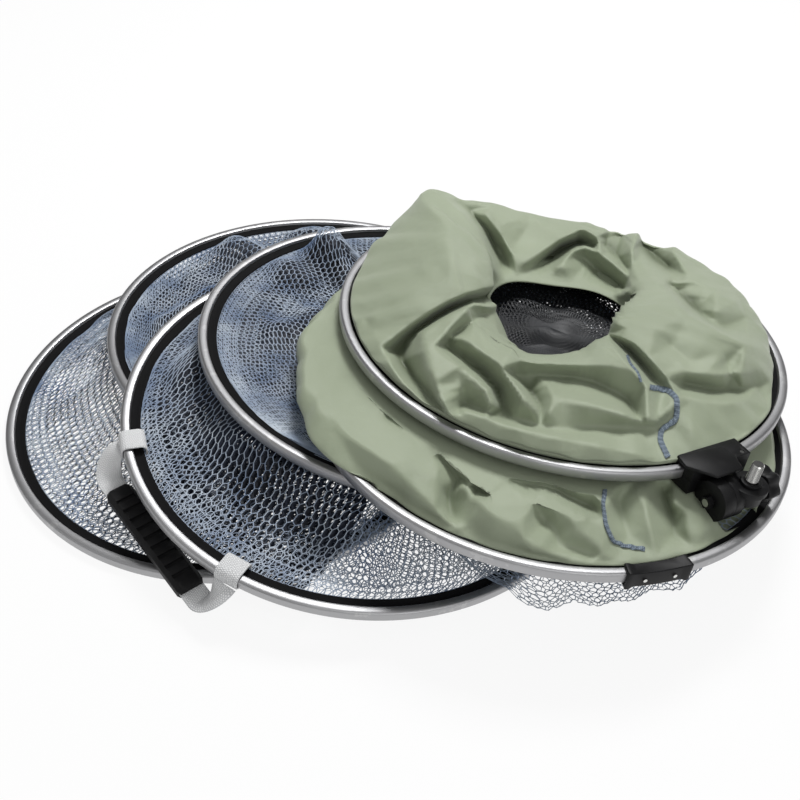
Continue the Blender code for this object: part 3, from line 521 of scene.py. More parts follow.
@dataclass(frozen=True)
class Hoop:
    """Where one hoop lies: centre and slopes as the CAD model has them, as shares of the hoop's sizes."""

    number: int
    x_share: float
    y_share: float
    z_share: float
    tip_x: float
    tip_y: float
    diameter: float = HOOP_SPAN

    @property
    def middle(self) -> float:
        """Radius of the middle of the section."""
        return (self.diameter - HOOP_WIDTH) / 2

    @property
    def net_edge(self) -> float:
        """Radius at which a net meets the band."""
        return self.middle - HOOP_WIDTH / 2 - BAND_WIDTH - CLEARANCE

    @property
    def centre(self) -> Vector:
        """Centre in the model's frame."""
        return Vector((self.x_share * HOOP_SPAN, self.y_share * HOOP_SPAN, self.z_share * HOOP_HEIGHT))

    @property
    def slopes(self) -> tuple[float, float]:
        """Rise towards -X and -Y."""
        unit = HOOP_HEIGHT / ((HOOP_SPAN - HOOP_WIDTH) / 2)
        return self.tip_x * unit, self.tip_y * unit

    @property
    def normal(self) -> Vector:
        """Square to the hoop's plane."""
        return Vector((*self.slopes, 1.0)).normalized()

    def frame(self) -> Matrix:
        """Matrix of the hoop's frame, Z square to its plane.

        Returns:
            The matrix.
        """
        z_axis = self.normal
        x_axis = Vector((0, 1, 0)).cross(z_axis).normalized()
        turn = Matrix((x_axis, z_axis.cross(x_axis), z_axis)).transposed()
        return Matrix.Translation(self.centre) @ turn.to_4x4()

    def at(self, azimuth: Amount, radius: Amount, lift: Amount = 0.0) -> Grid:
        """Points on the hoop.

        Args:
            azimuth: degrees, a number or an array.
            radius: metres from the centre.
            lift: metres over the plane.

        Returns:
            The points as an array whose last side is 3.
        """
        frame = np.array(self.frame())
        angle = np.radians(azimuth)
        local = np.stack(np.broadcast_arrays(radius * np.cos(angle), radius * np.sin(angle), lift), -1)
        return local @ frame[:3, :3].T + frame[:3, 3]

    def level(self, x: Amount, y: Amount) -> Amount:
        """Height of the hoop's plane at x, y."""
        slope_x, slope_y = self.slopes
        return self.centre.z - slope_x * (x - self.centre.x) - slope_y * (y - self.centre.y)

    def off(self, x: Amount, y: Amount) -> Amount:
        """Distance outwards from the middle of the section, seen from above."""
        return np.hypot(x - self.centre.x, y - self.centre.y) - self.middle


HOOPS = {
    1: Hoop(1, -0.3444, -0.0600, 0.50, 0.0, 0.0),
    2: Hoop(2, -0.1689, 0.1743, 2.00, 0.613, 1.285),
    3: Hoop(3, -0.0561, -0.1740, 4.00, 2.111, -1.069),
    4: Hoop(4, 0.0754, 0.0138, 5.968, 2.234, 1.570),
    5: Hoop(5, 0.3269, -0.1747, 6.784, 1.768, 1.778),
    6: Hoop(6, 0.3639, -0.0067, 9.247, 2.203, 1.954, 0.386),
}
BODIES = {1: "bottom_ring", 2: "ring_2", 3: "ring_3", 4: "ring_4", 5: "ring_5", 6: "top_ring"}


# Shape tools


def mix(first: Amount, second: Amount, share: Amount) -> Amount:
    """The value at a share of the way from the first to the second."""
    return first * (1 - share) + second * share


def ease(t: Amount) -> Amount:
    """Smooth step of a share."""
    t = np.clip(t, 0.0, 1.0)
    return t * t * (3 - 2 * t)


def near(gap: Amount, half: float, soft: float) -> Amount:
    """One within half of zero, falling smoothly to zero over soft."""
    return 1 - ease((np.abs(gap) - half) / soft)


def window(azimuth: Amount, middle: float, half: float, soft: float) -> Amount:
    """One within half of an azimuth, falling smoothly to zero over soft degrees."""
    return near((azimuth - middle + 180.0) % 360.0 - 180.0, half, soft)


def spline(a: Grid, b: Grid, c: Grid, d: Grid, t: Amount) -> Grid:
    """The curve through b and c that keeps to the direction of a and d."""
    return b + t * (c - a + t * (2 * a - 5 * b + 4 * c - d + t * (3 * (b - c) + d - a))) / 2


def round_table(shares: Sequence[float], azimuth: Grid) -> Grid:
    """Smooth values at azimuths, from shares evenly spaced round the circle.

    Args:
        shares: values evenly spaced round the circle.
        azimuth: degrees.

    Returns:
        One value for each azimuth.
    """
    values = np.array(shares)
    place = (azimuth % 360.0) / 360.0 * len(values)
    i = np.floor(place).astype(int)
    return spline(*(values[(i + n) % len(values)] for n in (-1, 0, 1, 2)), place - i)


def around(azimuth: Grid) -> Grid:
    """Unit directions in the floor's plane."""
    a = np.radians(azimuth)
    return np.stack((np.cos(a), np.sin(a), np.zeros_like(a)), -1)


def reach(points: Grid) -> Grid:
    """Length along a line of points, up to each of them."""
    return np.concatenate(([0], np.cumsum(np.linalg.norm(np.diff(points, axis=0), axis=1))))


def arc(middle: tuple[float, float], radius: float, start: float, step: int) -> list[tuple[float, float]]:
    """A quarter circle of (radius, height) points, turning clockwise.

    Args:
        middle: its middle.
        radius: its radius.
        start: degrees of its first point.
        step: degrees between the points.

    Returns:
        The points.
    """
    turns = [math.radians(start - turn) for turn in range(0, 91, step)]
    return [(middle[0] + radius * math.cos(turn), middle[1] + radius * math.sin(turn)) for turn in turns]


def resample(grid: Grid, rows: Grid) -> Grid:
    """Each column of a grid, taken at shares of its own length.

    Args:
        grid: points, rows by columns by 3.
        rows: shares of the length from 0 to 1, one for every new row and column.

    Returns:
        The new points, rows by columns by 3.
    """
    steps = np.linalg.norm(np.diff(grid, axis=0), axis=-1)
    length = np.concatenate((np.zeros((1, grid.shape[1])), np.cumsum(steps, axis=0)))
    length = length / length[-1]
    out = np.empty((*rows.shape, 3))
    for column in range(grid.shape[1]):
        for axis in range(3):
            out[:, column, axis] = np.interp(rows[:, column], length[:, column], grid[:, column, axis])
    return out


# Object tools


# Metres within which points are merged.
MERGE = 0.00002


def deselect() -> None:
    """Leave edit mode and select nothing."""
    if bpy.context.object and bpy.context.object.mode != "OBJECT":
        bpy.ops.object.mode_set(mode="OBJECT")
    bpy.ops.object.select_all(action="DESELECT")


def activate(item: Item) -> None:
    """Select one object only.

    Args:
        item: the object.
    """
    deselect()
    item.select_set(True)
    bpy.context.view_layer.objects.active = item


def linked(name: str, data: bpy.types.ID) -> Item:
    """A new object with its data, in the scene.

    Args:
        name: the object's name.
        data: its mesh, lamp or camera.

    Returns:
        The object.
    """
    item = bpy.data.objects.new(name, data)
    bpy.context.scene.collection.objects.link(item)
    return item


def stand_in(item: Item, finish: Finish, *nodes: str) -> None:
    """Let a piece stand for CAD nodes, which are hidden.

    Args:
        item: the piece.
        finish: not used.
        nodes: the CAD nodes, if any.
    """
    if nodes:
        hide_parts(*nodes)


def settle(item: Item, name: str, finish: Material, frame: Matrix, smooth: float) -> Item:
    """Name a modelled piece, put its place in its mesh and give it a material.

    Args:
        item: the object.
        name: its name.
        finish: its material.
        frame: the frame that it was modelled in.
        smooth: faces meeting at less than this many degrees are shaded smooth.

    Returns:
        The object.
    """
    deselect()
    item.name = item.data.name = name
    item.data.transform(frame @ item.matrix_basis)
    item.matrix_basis = Matrix.Identity(4)
    item.data.materials.clear()
    item.data.materials.append(finish)
    activate(item)
    bpy.ops.object.shade_smooth_by_angle(angle=math.radians(smooth))
    item.select_set(False)
    LOG.info("%s: %d faces", name, len(item.data.polygons))
    return item


def modify(item: Item, kind: str, **settings: Any) -> None:
    """Add a modifier with its settings and apply it.

    Args:
        item: the object.
        kind: Blender's modifier type.
        settings: the modifier's properties.
    """
    activate(item)
    made = item.modifiers.new(kind.lower(), kind)
    for name, value in settings.items():
        setattr(made, name, value)
    bpy.ops.object.modifier_apply(modifier=made.name)


def turned(profile: Sequence[tuple[float, float]], steps: int) -> Item:
    """Turn a closed section of (radius, height) points about Z with the spin operator.

    Args:
        profile: the section's points in order.
        steps: how many steps the turn has.

    Returns:
        The object.
    """
    deselect()
    bpy.ops.mesh.primitive_circle_add(vertices=len(profile), radius=0.01)
    item = bpy.context.object
    for vert, (radius, height) in zip(item.data.vertices, profile):
        vert.co = (radius, 0.0, height)
    bpy.ops.object.mode_set(mode="EDIT")
    bpy.ops.mesh.select_all(action="SELECT")
    bpy.ops.mesh.spin(steps=steps, angle=math.tau, center=(0, 0, 0), axis=(0, 0, 1))
    bpy.ops.mesh.select_all(action="SELECT")
    bpy.ops.mesh.remove_doubles(threshold=MERGE)
    bpy.ops.mesh.normals_make_consistent(inside=False)
    bpy.ops.object.mode_set(mode="OBJECT")
    return item


def mesh_object(name: str, points: Grid, faces: Grid, finish: Material, uv: Grid | None = None) -> Item:
    """Make an object from arrays, for cloth and netting.

    Args:
        name: the object's name.
        points: vertices.
        faces: quads as rows of four vertex numbers.
        finish: the material.
        uv: a UV for every vertex. A piece that has them is shaded smooth.

    Returns:
        The object.
    """
    mesh = bpy.data.meshes.new(name)
    count = len(faces)
    mesh.vertices.add(len(points))
    mesh.vertices.foreach_set("co", points.astype(np.float32).ravel())
    mesh.loops.add(count * 4)
    mesh.loops.foreach_set("vertex_index", faces.astype(np.int32).ravel())
    mesh.polygons.add(count)
    mesh.polygons.foreach_set("loop_start", np.arange(count, dtype=np.int32) * 4)
    mesh.update(calc_edges=True)
    mesh.materials.append(finish)
    if uv is not None:
        layer = mesh.uv_layers.new(name="cloth")
        layer.data.foreach_set("uv", uv[faces.ravel()].astype(np.float32).ravel())
        mesh.shade_smooth()
    LOG.info("%s: %d faces", name, count)
    return linked(name, mesh)


def grid_faces(rows: int, columns: int, closed: bool) -> Grid:
    """Quads of a grid of rows by columns, which may close round.

    Args:
        rows: rows of points.
        columns: points in a row.
        closed: whether each row closes round.

    Returns:
        Rows of four point numbers.
    """
    last = columns if closed else columns - 1
    i, j = np.meshgrid(np.arange(rows - 1), np.arange(last), indexing="ij")
    k = (j + 1) % columns
    quads = np.stack((i * columns + j, i * columns + k, (i + 1) * columns + k, (i + 1) * columns + j), -1)
    return quads.reshape(-1, 4)


# Hoops


@dataclass
class HoopSet:
    """Six grooved hoops with their bands, finer than the CAD rings."""

    wardrobe: Wardrobe
    corner: float = 0.0022
    groove_depth: float = 0.0028
    groove_height: float = 0.0036
    band_edge: float = 0.0012
    steps: int = 192

    def section(self, hoop: Hoop) -> list[tuple[float, float]]:
        """Outline of the hoop's section with rounded corners.

        Args:
            hoop: the hoop.

        Returns:
            Points as (radius, height).
        """
        outer, inner = hoop.middle + HOOP_WIDTH / 2, hoop.middle - HOOP_WIDTH / 2
        half, groove = HOOP_HEIGHT / 2, self.groove_height / 2
        floor, side, bevel = inner + self.groove_depth, inner + self.corner, inner + self.corner * 0.4
        round_r, round_z = outer - self.corner, half - self.corner
        upper, lower = ((round_r, z) for z in (round_z, -round_z))
        return [*arc(upper, self.corner, 90.0, 30), *arc(lower, self.corner, 0.0, 30),
                (side, -half), (bevel, -half * 0.86), (inner, -groove), (floor, -groove), (floor, groove),
                (inner, groove), (bevel, half * 0.86), (side, half)]

    def band_section(self, hoop: Hoop) -> list[tuple[float, float]]:
        """Outline of the band: bead in the groove, tape towards the net, a rolled hem at its edge.

        Args:
            hoop: the hoop.

        Returns:
            Points as (radius, height).
        """
        inner = hoop.middle - HOOP_WIDTH / 2
        bead, edge = inner + self.groove_depth - CLEARANCE, inner - BAND_WIDTH
        half = self.groove_height / 2 - CLEARANCE
        thin, hem = self.band_edge * 0.5, self.band_edge * 0.9
        upper = [(bead, half), (inner, half * 0.9), (inner - 0.0012, thin * 1.3), (edge + 0.0024, thin),
                 (edge + 0.0014, hem), (edge + 0.0004, hem * 0.8), (edge, 0.0)]
        return upper + [(r, -z) for r, z in reversed(upper[:-1])]

    def build(self) -> None:
        """Make every hoop and band."""
        for number, hoop in HOOPS.items():
            for name, node, section, finish, smooth in (
                    ("fine_hoop", f"hoop_{number}", self.section(hoop), Finish.ALUMINIUM, 40.0),
                    ("fine_band", f"hoop_{number}_band", self.band_section(hoop), Finish.TAPE, 60.0)):
                ring = settle(turned(section, self.steps), f"{name}_{number}", self.wardrobe.of[finish],
                              hoop.frame(), smooth)
                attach(ring, BODIES[number])
                stand_in(ring, finish, node)


# Netting


@dataclass
class Netting:
    """Knotless hexagon netting laid on a grid of points, as flat yarns."""

    yarn: float = 0.0008
    cell: float = 0.0062
    tall: float = 0.87
    zigzag: float = 0.17
    uneven: float = 0.05
    overlap: float = 0.06

    def lay(self, name: str, grid: Grid, up: Grid, finish: Material, girth: float, seed: int,
            closed: bool = True) -> Item:
        """Make the net of one surface.

        Args:
            name: the object's name.
            grid: dense points of the surface, rows by columns by 3.
            up: direction that no yarn's width leans along.
            finish: the material.
            girth: the net's real width round its columns, in metres.
            seed: varies the yarns.
            closed: whether the columns close round.

        Returns:
            The object.
        """
        rng = np.random.default_rng(seed)
        length = float(np.linalg.norm(np.diff(grid, axis=0), axis=-1).sum(axis=0).mean())
        columns = 2 * max(int(girth / self.cell), 4)
        rows = max(int(length / (self.cell * self.tall)), 2)
        i, j = np.meshgrid(np.arange(rows + 1), np.arange(columns), indexing="ij")
        zig = np.where((i + j) % 2 == 0, self.zigzag, -self.zigzag)
        zig[0] = zig[-1] = 0
        shares = np.clip((i + zig + rng.normal(0, self.uneven, zig.shape)) / rows, 0, 1)
        shares[0], shares[-1] = 0, 1
        source, open_side = grid.shape[1], 0 if closed else 1
        place = (np.arange(columns) / (columns - open_side)) * (source - open_side)
        low = np.floor(place).astype(int) % source
        high = (low + 1) % source if closed else np.minimum(low + 1, source - 1)
        t = (place - np.floor(place))[None, :, None]
        points = resample(mix(grid[:, low], grid[:, high], t), shares).reshape(-1, 3)
        number = i * columns + j
        sides = np.stack((number, np.roll(number, -1, axis=1)), -1)[:, :columns - open_side]
        link = ((i + j) % 2 == 0)[:-1]
        ends = np.concatenate((sides.reshape(-1, 2), np.stack((number[:-1][link], number[1:][link]), -1)))
        return self.yarns(name, points, ends, up, finish)

    def yarns(self, name: str, points: Grid, ends: Grid, up: Grid, finish: Material) -> Item:
        """Make flat yarns between pairs of points.

        Args:
            name: the object's name.
            points: the knots.
            ends: pairs of knot numbers.
            up: direction that the widths stay square to.
            finish: the material.

        Returns:
            The object.
        """
        a, b = points[ends[:, 0]], points[ends[:, 1]]
        side = np.cross(b - a, up)
        side *= self.yarn / 2 / np.maximum(np.linalg.norm(side, axis=1, keepdims=True), 1e-9)
        past = (b - a) * self.overlap
        a, b = a - past, b + past
        corners = np.stack((a - side, b - side, b + side, a + side), 1).reshape(-1, 3)
        return mesh_object(name, corners, np.arange(len(corners)).reshape(-1, 4), finish)


@dataclass(frozen=True)
class Swell:
    """A fold that stands up in a net panel, along a line seen from above."""

    start: tuple[float, float]
    end: tuple[float, float]
    rise: float
    width: float

    def over(self, x: Grid, y: Grid) -> Grid:
        """Height that the fold adds at each x, y.

        Args:
            x: places along X.
            y: places along Y.

        Returns:
            Heights in metres.
        """
        ax, ay = self.start
        dx, dy = self.end[0] - ax, self.end[1] - ay
        t = np.clip(((x - ax) * dx + (y - ay) * dy) / (dx * dx + dy * dy), 0, 1)
        gap = np.hypot(x - ax - t * dx, y - ay - t * dy) / self.width
        return self.rise * np.exp(-gap * gap)


@dataclass
class NetWall:
    """The net between one hoop and the next, folded.

    It drapes over the crescent of the lower hoop, then lies in folds under the upper hoop's plane up to
    that hoop's band. Layers of the same net, coloured near black as painted shade, lie under the drape.
    """

    number: int
    wardrobe: Wardrobe
    swells: Sequence[Swell]
    deep_layers: int
    deep_span: tuple[float, float]
    deep_yarn: float = 0.0019
    tall: float = 0.87
    slack: bool = False
    gather: float = 0.0035
    sag: float = 0.002
    tuck: float = 0.014
    lap_out: float = 0.0045
    lap_up: float = 0.0022
    lap_end: float = 0.16
    fold_turn: float = 0.48
    fold_reach: float = 0.070
    fold_gap: float = 0.0006
    deep_sink: float = 0.0030
    deep_step: float = 0.0020
    deep_drop: float = 0.0012
    hem: Netting = field(default_factory=lambda: Netting(0.0006, 0.0040))
    hem_rows: int = 7
    rows: int = 40
    columns: int = 360

    @property
    def low(self) -> Hoop:
        """The hoop that the wall starts from."""
        return HOOPS[self.number]

    @property
    def high(self) -> Hoop:
        """The hoop that the wall ends at."""
        return HOOPS[self.number + 1]

    def slab(self) -> tuple[Grid, float, float]:
        """Direction, start and depth of the room between both bands.

        Returns:
            The three, the last two in metres.
        """
        turn = np.arange(360.0)
        normal = np.array(self.high.normal)
        lower = self.low.at(turn, self.low.net_edge) @ normal
        upper = self.high.at(turn, self.high.net_edge) @ normal
        return normal, float(lower.max()), float(upper.min() - lower.max())

    def slab_level(self, x: Grid, y: Grid, share: Amount) -> Grid:
        """Height at x, y of the slab's plane at a share of its depth."""
        normal, start, depth = self.slab()
        return (start + depth * share - normal[0] * x - normal[1] * y) / normal[2]

    def clear(self, x: Grid, y: Grid, z: Grid) -> Grid:
        """Heights kept over the hoops below and under those above.

        Args:
            x: places along X.
            y: places along Y.
            z: heights of the net.

        Returns:
            The heights, moved where needed.
        """
        for hoop in HOOPS.values():
            off, plane = hoop.off(x, y), hoop.level(x, y)
            if hoop.number <= self.number:
                top = plane + HOOP_HEIGHT / 2 + HOOP_GAP
                share = np.where(off < -0.0115, 0.0, near(off, 0.004, 0.010))
                z = np.where(share > 0, np.maximum(z, mix(z, top, share)), z)
            else:
                bottom = plane - HOOP_HEIGHT / 2 - HOOP_GAP
                share = near(off + 0.003, 0.009, 0.012)
                z = np.where(share > 0, np.minimum(z, mix(np.minimum(z, bottom + 0.004), bottom, share)), z)
        return np.maximum(z, FLOOR_GAP)

    def waves(self, azimuth: Grid, share: Grid, seed: float) -> Grid:
        """Irregular gathers, from -1 to 1.

        Args:
            azimuth: degrees of the columns.
            share: place of the rows.
            seed: varies the gathers.

        Returns:
            One value for each row and column.
        """
        a = np.radians(azimuth)
        return (0.45 * np.sin(7 * a + 3.1 * share + seed) + 0.35 * np.sin(17 * a - 4.0 * share + 2.3 * seed)
                + 0.25 * np.sin(31 * a + 6.0 * share + 1.7 * seed) + 0.2 * np.sin(4 * a + 9.0 * share - seed))

    def hanging(self, azimuth: Grid, share: Grid, seed: float, level: Grid) -> Grid:
        """The slack loop that hangs out under the upper hoop and lies on the floor.

        Args:
            azimuth: degrees of the columns.
            share: place of the rows, from the lower band to under the upper hoop.
            seed: shape of the gathers.
            level: height of the slab at every point.

        Returns:
            Points, rows by columns by 3.
        """
        first = self.low.at(azimuth, self.low.net_edge)
        under = self.high.at(azimuth, self.high.net_edge - self.tuck)
        foot = self.high.at(azimuth, self.high.middle * (0.86 + 0.03 * self.waves(azimuth, share, seed + 2)))
        rise = ease((share - 0.55) / 0.45)
        grid = mix(first, mix(foot, under, rise[..., None]), np.minimum(1.0, 2.2 * share)[..., None])
        floor = 0.002 + 0.002 * (1 + self.waves(azimuth, share, seed))
        grid[..., 2] = mix(mix(first[:, 2], floor, ease(1.9 * share)), level, rise)
        return grid

    def drape(self, azimuth: Grid, seed: float, sink: float) -> Grid:
        """The surface over the crescent, from the lower band to under the upper hoop.

        Args:
            azimuth: degrees of the columns.
            seed: shape of the gathers.
            sink: how far it lies under the top layer.

        Returns:
            Points, rows by columns by 3.
        """
        first = self.low.at(azimuth, self.low.net_edge)
        under = self.high.at(azimuth, self.high.net_edge - self.tuck)
        share = np.linspace(0, 1, self.rows)[:, None]
        grid = mix(first, under, share[..., None])
        x, y = grid[..., 0], grid[..., 1]
        level = self.slab_level(x, y, 0.0)
        z = mix(first[:, 2], mix(self.low.level(x, y) + 0.0015, level, share), share)
        z += np.sin(math.pi * share) * (self.gather * self.waves(azimuth, share, seed) - self.sag - sink)
        for swell in self.swells:
            z += swell.over(x, y) * np.minimum(1, 8 * share) * (1 - sink / 0.012)
        grid[..., 2] = z
        if self.slack:
            fall = window(azimuth, *SLACK_WINDOW)[:, None]
            grid = mix(grid, self.hanging(azimuth, share, seed, level), fall)
        bulge = np.sin(math.pi * np.clip(share / self.lap_end, 0, 1))
        lap = bulge * (0.55 + 0.45 * self.waves(azimuth, share, seed + 9))
        grid += self.lap_out * lap[..., None] * around(azimuth)
        grid[..., 2] += self.lap_up * np.maximum(lap, 0.0)
        grid[..., 2] = self.clear(grid[..., 0], grid[..., 1], grid[..., 2])
        grid[0] = first
        return grid

    def folds(self, azimuth: Grid) -> Grid:
        """The folds under the upper hoop's plane, rising from the drape's end to the upper band.

        Args:
            azimuth: degrees of the columns.

        Returns:
            Points, rows by columns by 3.
        """
        share = np.linspace(0, 1, self.rows)[:, None]
        out, back = share / self.fold_turn, (share - self.fold_turn) / (1 - self.fold_turn)
        inward = np.sin(np.where(share < self.fold_turn, out, 1 + back) * math.pi / 2)
        depth = (self.fold_reach + 0.008 * self.waves(azimuth, share, 5.0)) * inward
        grid = self.high.at(azimuth, self.high.net_edge - self.tuck * (1 - share) - depth)
        x, y = grid[..., 0], grid[..., 1]
        z = self.slab_level(x, y, share)
        for hoop in list(HOOPS.values())[:self.number]:
            top = hoop.level(x, y) + HOOP_HEIGHT / 2 + self.fold_gap
            z = np.where(np.abs(hoop.off(x, y)) < HOOP_WIDTH / 2 + 0.003, np.maximum(z, top), z)
        grid[..., 2] = np.maximum(z, FLOOR_GAP)
        return mix(grid, self.high.at(azimuth, self.high.net_edge), ease((share - 0.9) / 0.1)[..., None])

    def painted_shade_layer(self, azimuth: Grid, layer: int, girth: float) -> None:
        """Make one of the layers under the drape, in the net's yarn with painted shade.

        Args:
            azimuth: degrees of the wall's columns.
            layer: 0 for the highest.
            girth: the wall's girth.
        """
        span = azimuth[(azimuth >= self.deep_span[0]) & (azimuth <= self.deep_span[1])]
        grid = self.drape(span, self.number + 0.22 * layer, self.deep_sink + self.deep_step * layer)
        grid[2:-2, :, 2] -= self.deep_drop * (layer + 1)
        grid[..., 2] = np.maximum(grid[..., 2], self.deep_drop)
        grid = grid[:int(len(grid) * 0.95)]
        # The layer's yarn is coloured near black as painted shade.
        item = Netting(self.deep_yarn, tall=self.tall).lay(
            f"net_fold_{self.number}_{layer + 1}", grid, np.array(self.high.normal), self.wardrobe.painted_shade_layer,
            girth * len(span) / len(azimuth), 10 * self.number + layer, False)
        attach(item, BODIES[self.number])
        stand_in(item, Finish.NET)

    def build(self) -> None:
        """Make the wall, its hem and its layers with painted shade."""
        azimuth = np.arange(self.columns) * 360.0 / self.columns
        normal, start, depth = self.slab()
        girth = math.tau * self.low.net_edge
        net = self.wardrobe.of[Finish.NET]
        grid = np.concatenate((self.drape(azimuth, float(self.number), 0.0), self.folds(azimuth)[1:]))
        wall = Netting(tall=self.tall).lay(f"net_wall_{self.number}", grid, normal, net, girth, self.number)
        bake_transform(wall)
        slack = ["net_panel_4_slack"] if self.slack else []
        stand_in(wall, Finish.NET, f"net_panel_{self.number}", *slack)
        hem = self.hem.lay(f"net_hem_{self.number}", grid[:self.hem_rows], normal, net, girth,
                           90 + self.number)
        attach(hem, BODIES[self.number])
        stand_in(hem, Finish.NET)
        for layer in range(self.deep_layers):
            self.painted_shade_layer(azimuth, layer, girth)


@dataclass
class BaseNet:
    """The flat net that closes the lowest hoop."""

    wardrobe: Wardrobe
    netting: Netting = field(default_factory=lambda: Netting(0.0008, 0.0066))
    lift: float = 0.0022
    ripple: float = 0.0008

    def build(self) -> None:
        """Make the net."""
        hoop = HOOPS[1]
        pitch = self.netting.cell / math.sqrt(3.0)
        count = int(hoop.net_edge / (pitch * 1.5)) + 2
        i, j = np.meshgrid(np.arange(-count * 2, count * 2), np.arange(-count, count + 1), indexing="ij")
        even = (i + j) % 2 == 0
        x = i * self.netting.cell / 2
        y = j * pitch * 1.5 + np.where(even, pitch / 4, -pitch / 4)
        z = self.lift + self.ripple * np.sin(x * 61) * np.sin(y * 53)
        away = np.hypot(x, y)
        squeeze = np.minimum(1.0, hoop.net_edge / np.maximum(away, 1e-6))
        points = np.stack((x * squeeze + hoop.centre.x, y * squeeze + hoop.centre.y, z), -1)
        number = np.arange(x.size).reshape(x.shape)
        inside = away < hoop.net_edge + pitch
        across = inside[:-1] & inside[1:]
        link = even[:, :-1] & inside[:, :-1] & inside[:, 1:]
        ends = np.concatenate((np.stack((number[:-1][across], number[1:][across]), -1),
                               np.stack((number[:, :-1][link], number[:, 1:][link]), -1)))
        item = self.netting.yarns("fine_base_net", points.reshape(-1, 3), ends, np.array((0.0, 0.0, 1.0)),
                                  self.wardrobe.of[Finish.NET])
        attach(item, BODIES[1])
        stand_in(item, Finish.NET, "base_net")


# Sleeve


class Facets:
    """Flat faces between ridges and valleys of cloth, drawn in the picture's frame in 800ths of its width."""

    left, top, wide, tall = 280, 170, 530, 420
    spacing = 5.0
    outside = 2000.0

    def __init__(self, lines: Sequence[Sequence[tuple[float, float, float]]], edge: Grid) -> None:
        """Join the lines' points.

        Args:
            lines: ridges and valleys, each point as (across, down, millimetres).
            edge: points of the cloth's outline, which have no height.
        """
        points = [(float(x), float(y), 0.0) for x, y in edge]
        for line in lines:
            for a, b in zip(line, line[1:]):
                count = max(int(math.dist(a[:2], b[:2]) / self.spacing), 1)
                points += [tuple(np.array(a) + (np.subtract(b, a)) * n / count) for n in range(count)]
            points.append(line[-1])
        far = self.outside
        points += [(-far, -far, 0.0), (far, -far, 0.0), (far, far, 0.0), (-far, far, 0.0)]
        source = np.array(points, float)
        made = geometry.delaunay_2d_cdt([Vector(p[:2]) for p in source], [], [], 0, 0.01)
        self.corners = np.array([(p[0], p[1]) for p in made[0]])
        self.heights = np.array([source[joined, 2].mean() if joined else 0.0 for joined in made[3]])
        self.faces = made[2]

    def raster(self) -> Grid:
        """Millimetres at every whole point of the region that holds the cloth.

        Returns:
            Rows of heights.
        """
        across, down = np.arange(self.left, self.left + self.wide), np.arange(self.top, self.top + self.tall)
        flat = np.stack(np.meshgrid(across.astype(float), down.astype(float)), -1).reshape(-1, 2)
        out = np.zeros(len(flat))
        order = np.argsort(flat[:, 0], kind="stable")
        sorted_x = flat[order, 0]
        for face in self.faces:
            a, b, c = (self.corners[k] for k in face)
            area = (b[0] - a[0]) * (c[1] - a[1]) - (b[1] - a[1]) * (c[0] - a[0])
            if abs(area) < 1e-9:
                continue
            ends = (min(a[0], b[0], c[0]) - 0.01, max(a[0], b[0], c[0]) + 0.01)
            index = order[slice(*np.searchsorted(sorted_x, ends))]
            x, y = (flat[index] - a).T
            v = (x * (c[1] - a[1]) - y * (c[0] - a[0])) / area
            w = ((b[0] - a[0]) * y - (b[1] - a[1]) * x) / area
            inside = (v >= -1e-6) & (w >= -1e-6) & (v + w <= 1 + 1e-6)
            first, second, third = self.heights[list(face)]
            out[index[inside]] = (first * (1 - v - w) + second * v + third * w)[inside]
        return out.reshape(self.tall, self.wide)

    def over(self, seen: Grid) -> Grid:
        """Height in metres at every seen point.

        Args:
            seen: where each vertex is seen.

        Returns:
            One height for each vertex.
        """
        heights = self.raster()
        for side in (0, 1):
            heights = (heights + np.roll(heights, 1, side) + np.roll(heights, -1, side)) / 3
        x = np.clip(seen[..., 0] - self.left, 0, self.wide - 1.01)
        y = np.clip(seen[..., 1] - self.top, 0, self.tall - 1.01)
        i, j = y.astype(int), x.astype(int)
        upper = mix(heights[i, j], heights[i, j + 1], x - j)
        lower = mix(heights[i + 1, j], heights[i + 1, j + 1], x - j)
        return mix(upper, lower, y - i) / 1000.0


@dataclass(frozen=True)
class Eye:
    """The picture's camera."""

    focal: float = 1100.0
    elevation: float = 42.56
    distance: float = 1.0055
    roll: float = 2.13
    target: tuple[float, float, float] = (0.00806, -0.00598, -0.00025)
    frame: float = 800.0

    def axes(self) -> tuple[Vector, Vector, Vector]:
        """Right, up and forward.

        Returns:
            Three unit vectors.
        """
        e, r = math.radians(self.elevation), math.radians(self.roll)
        forward = Vector((0, math.cos(e), -math.sin(e)))
        level, above = Vector((1, 0, 0)), Vector((0, math.sin(e), math.cos(e)))
        return level * math.cos(r) + above * math.sin(r), above * math.cos(r) - level * math.sin(r), forward

    @property
    def place(self) -> Vector:
        """Where the camera stands."""
        return Vector(self.target) - self.axes()[2] * self.distance

    def seen(self, points: Grid) -> Grid:
        """Where points are seen, in 800ths of the frame, from its upper left corner.

        Args:
            points: places in the model's frame.

        Returns:
            (across, down) of each.
        """
        right, up, forward = (np.array(axis) for axis in self.axes())
        rel = points - np.array(self.place)
        flat = np.stack((rel @ right, -(rel @ up)), -1)
        return self.frame / 2 + self.focal * flat / (rel @ forward)[..., None]


@dataclass(frozen=True)
class Pull:
    """A place where one ring of the sleeve is pulled out or up."""

    ring: str
    azimuth: float
    half: float
    soft: float
    out: float
    up: float


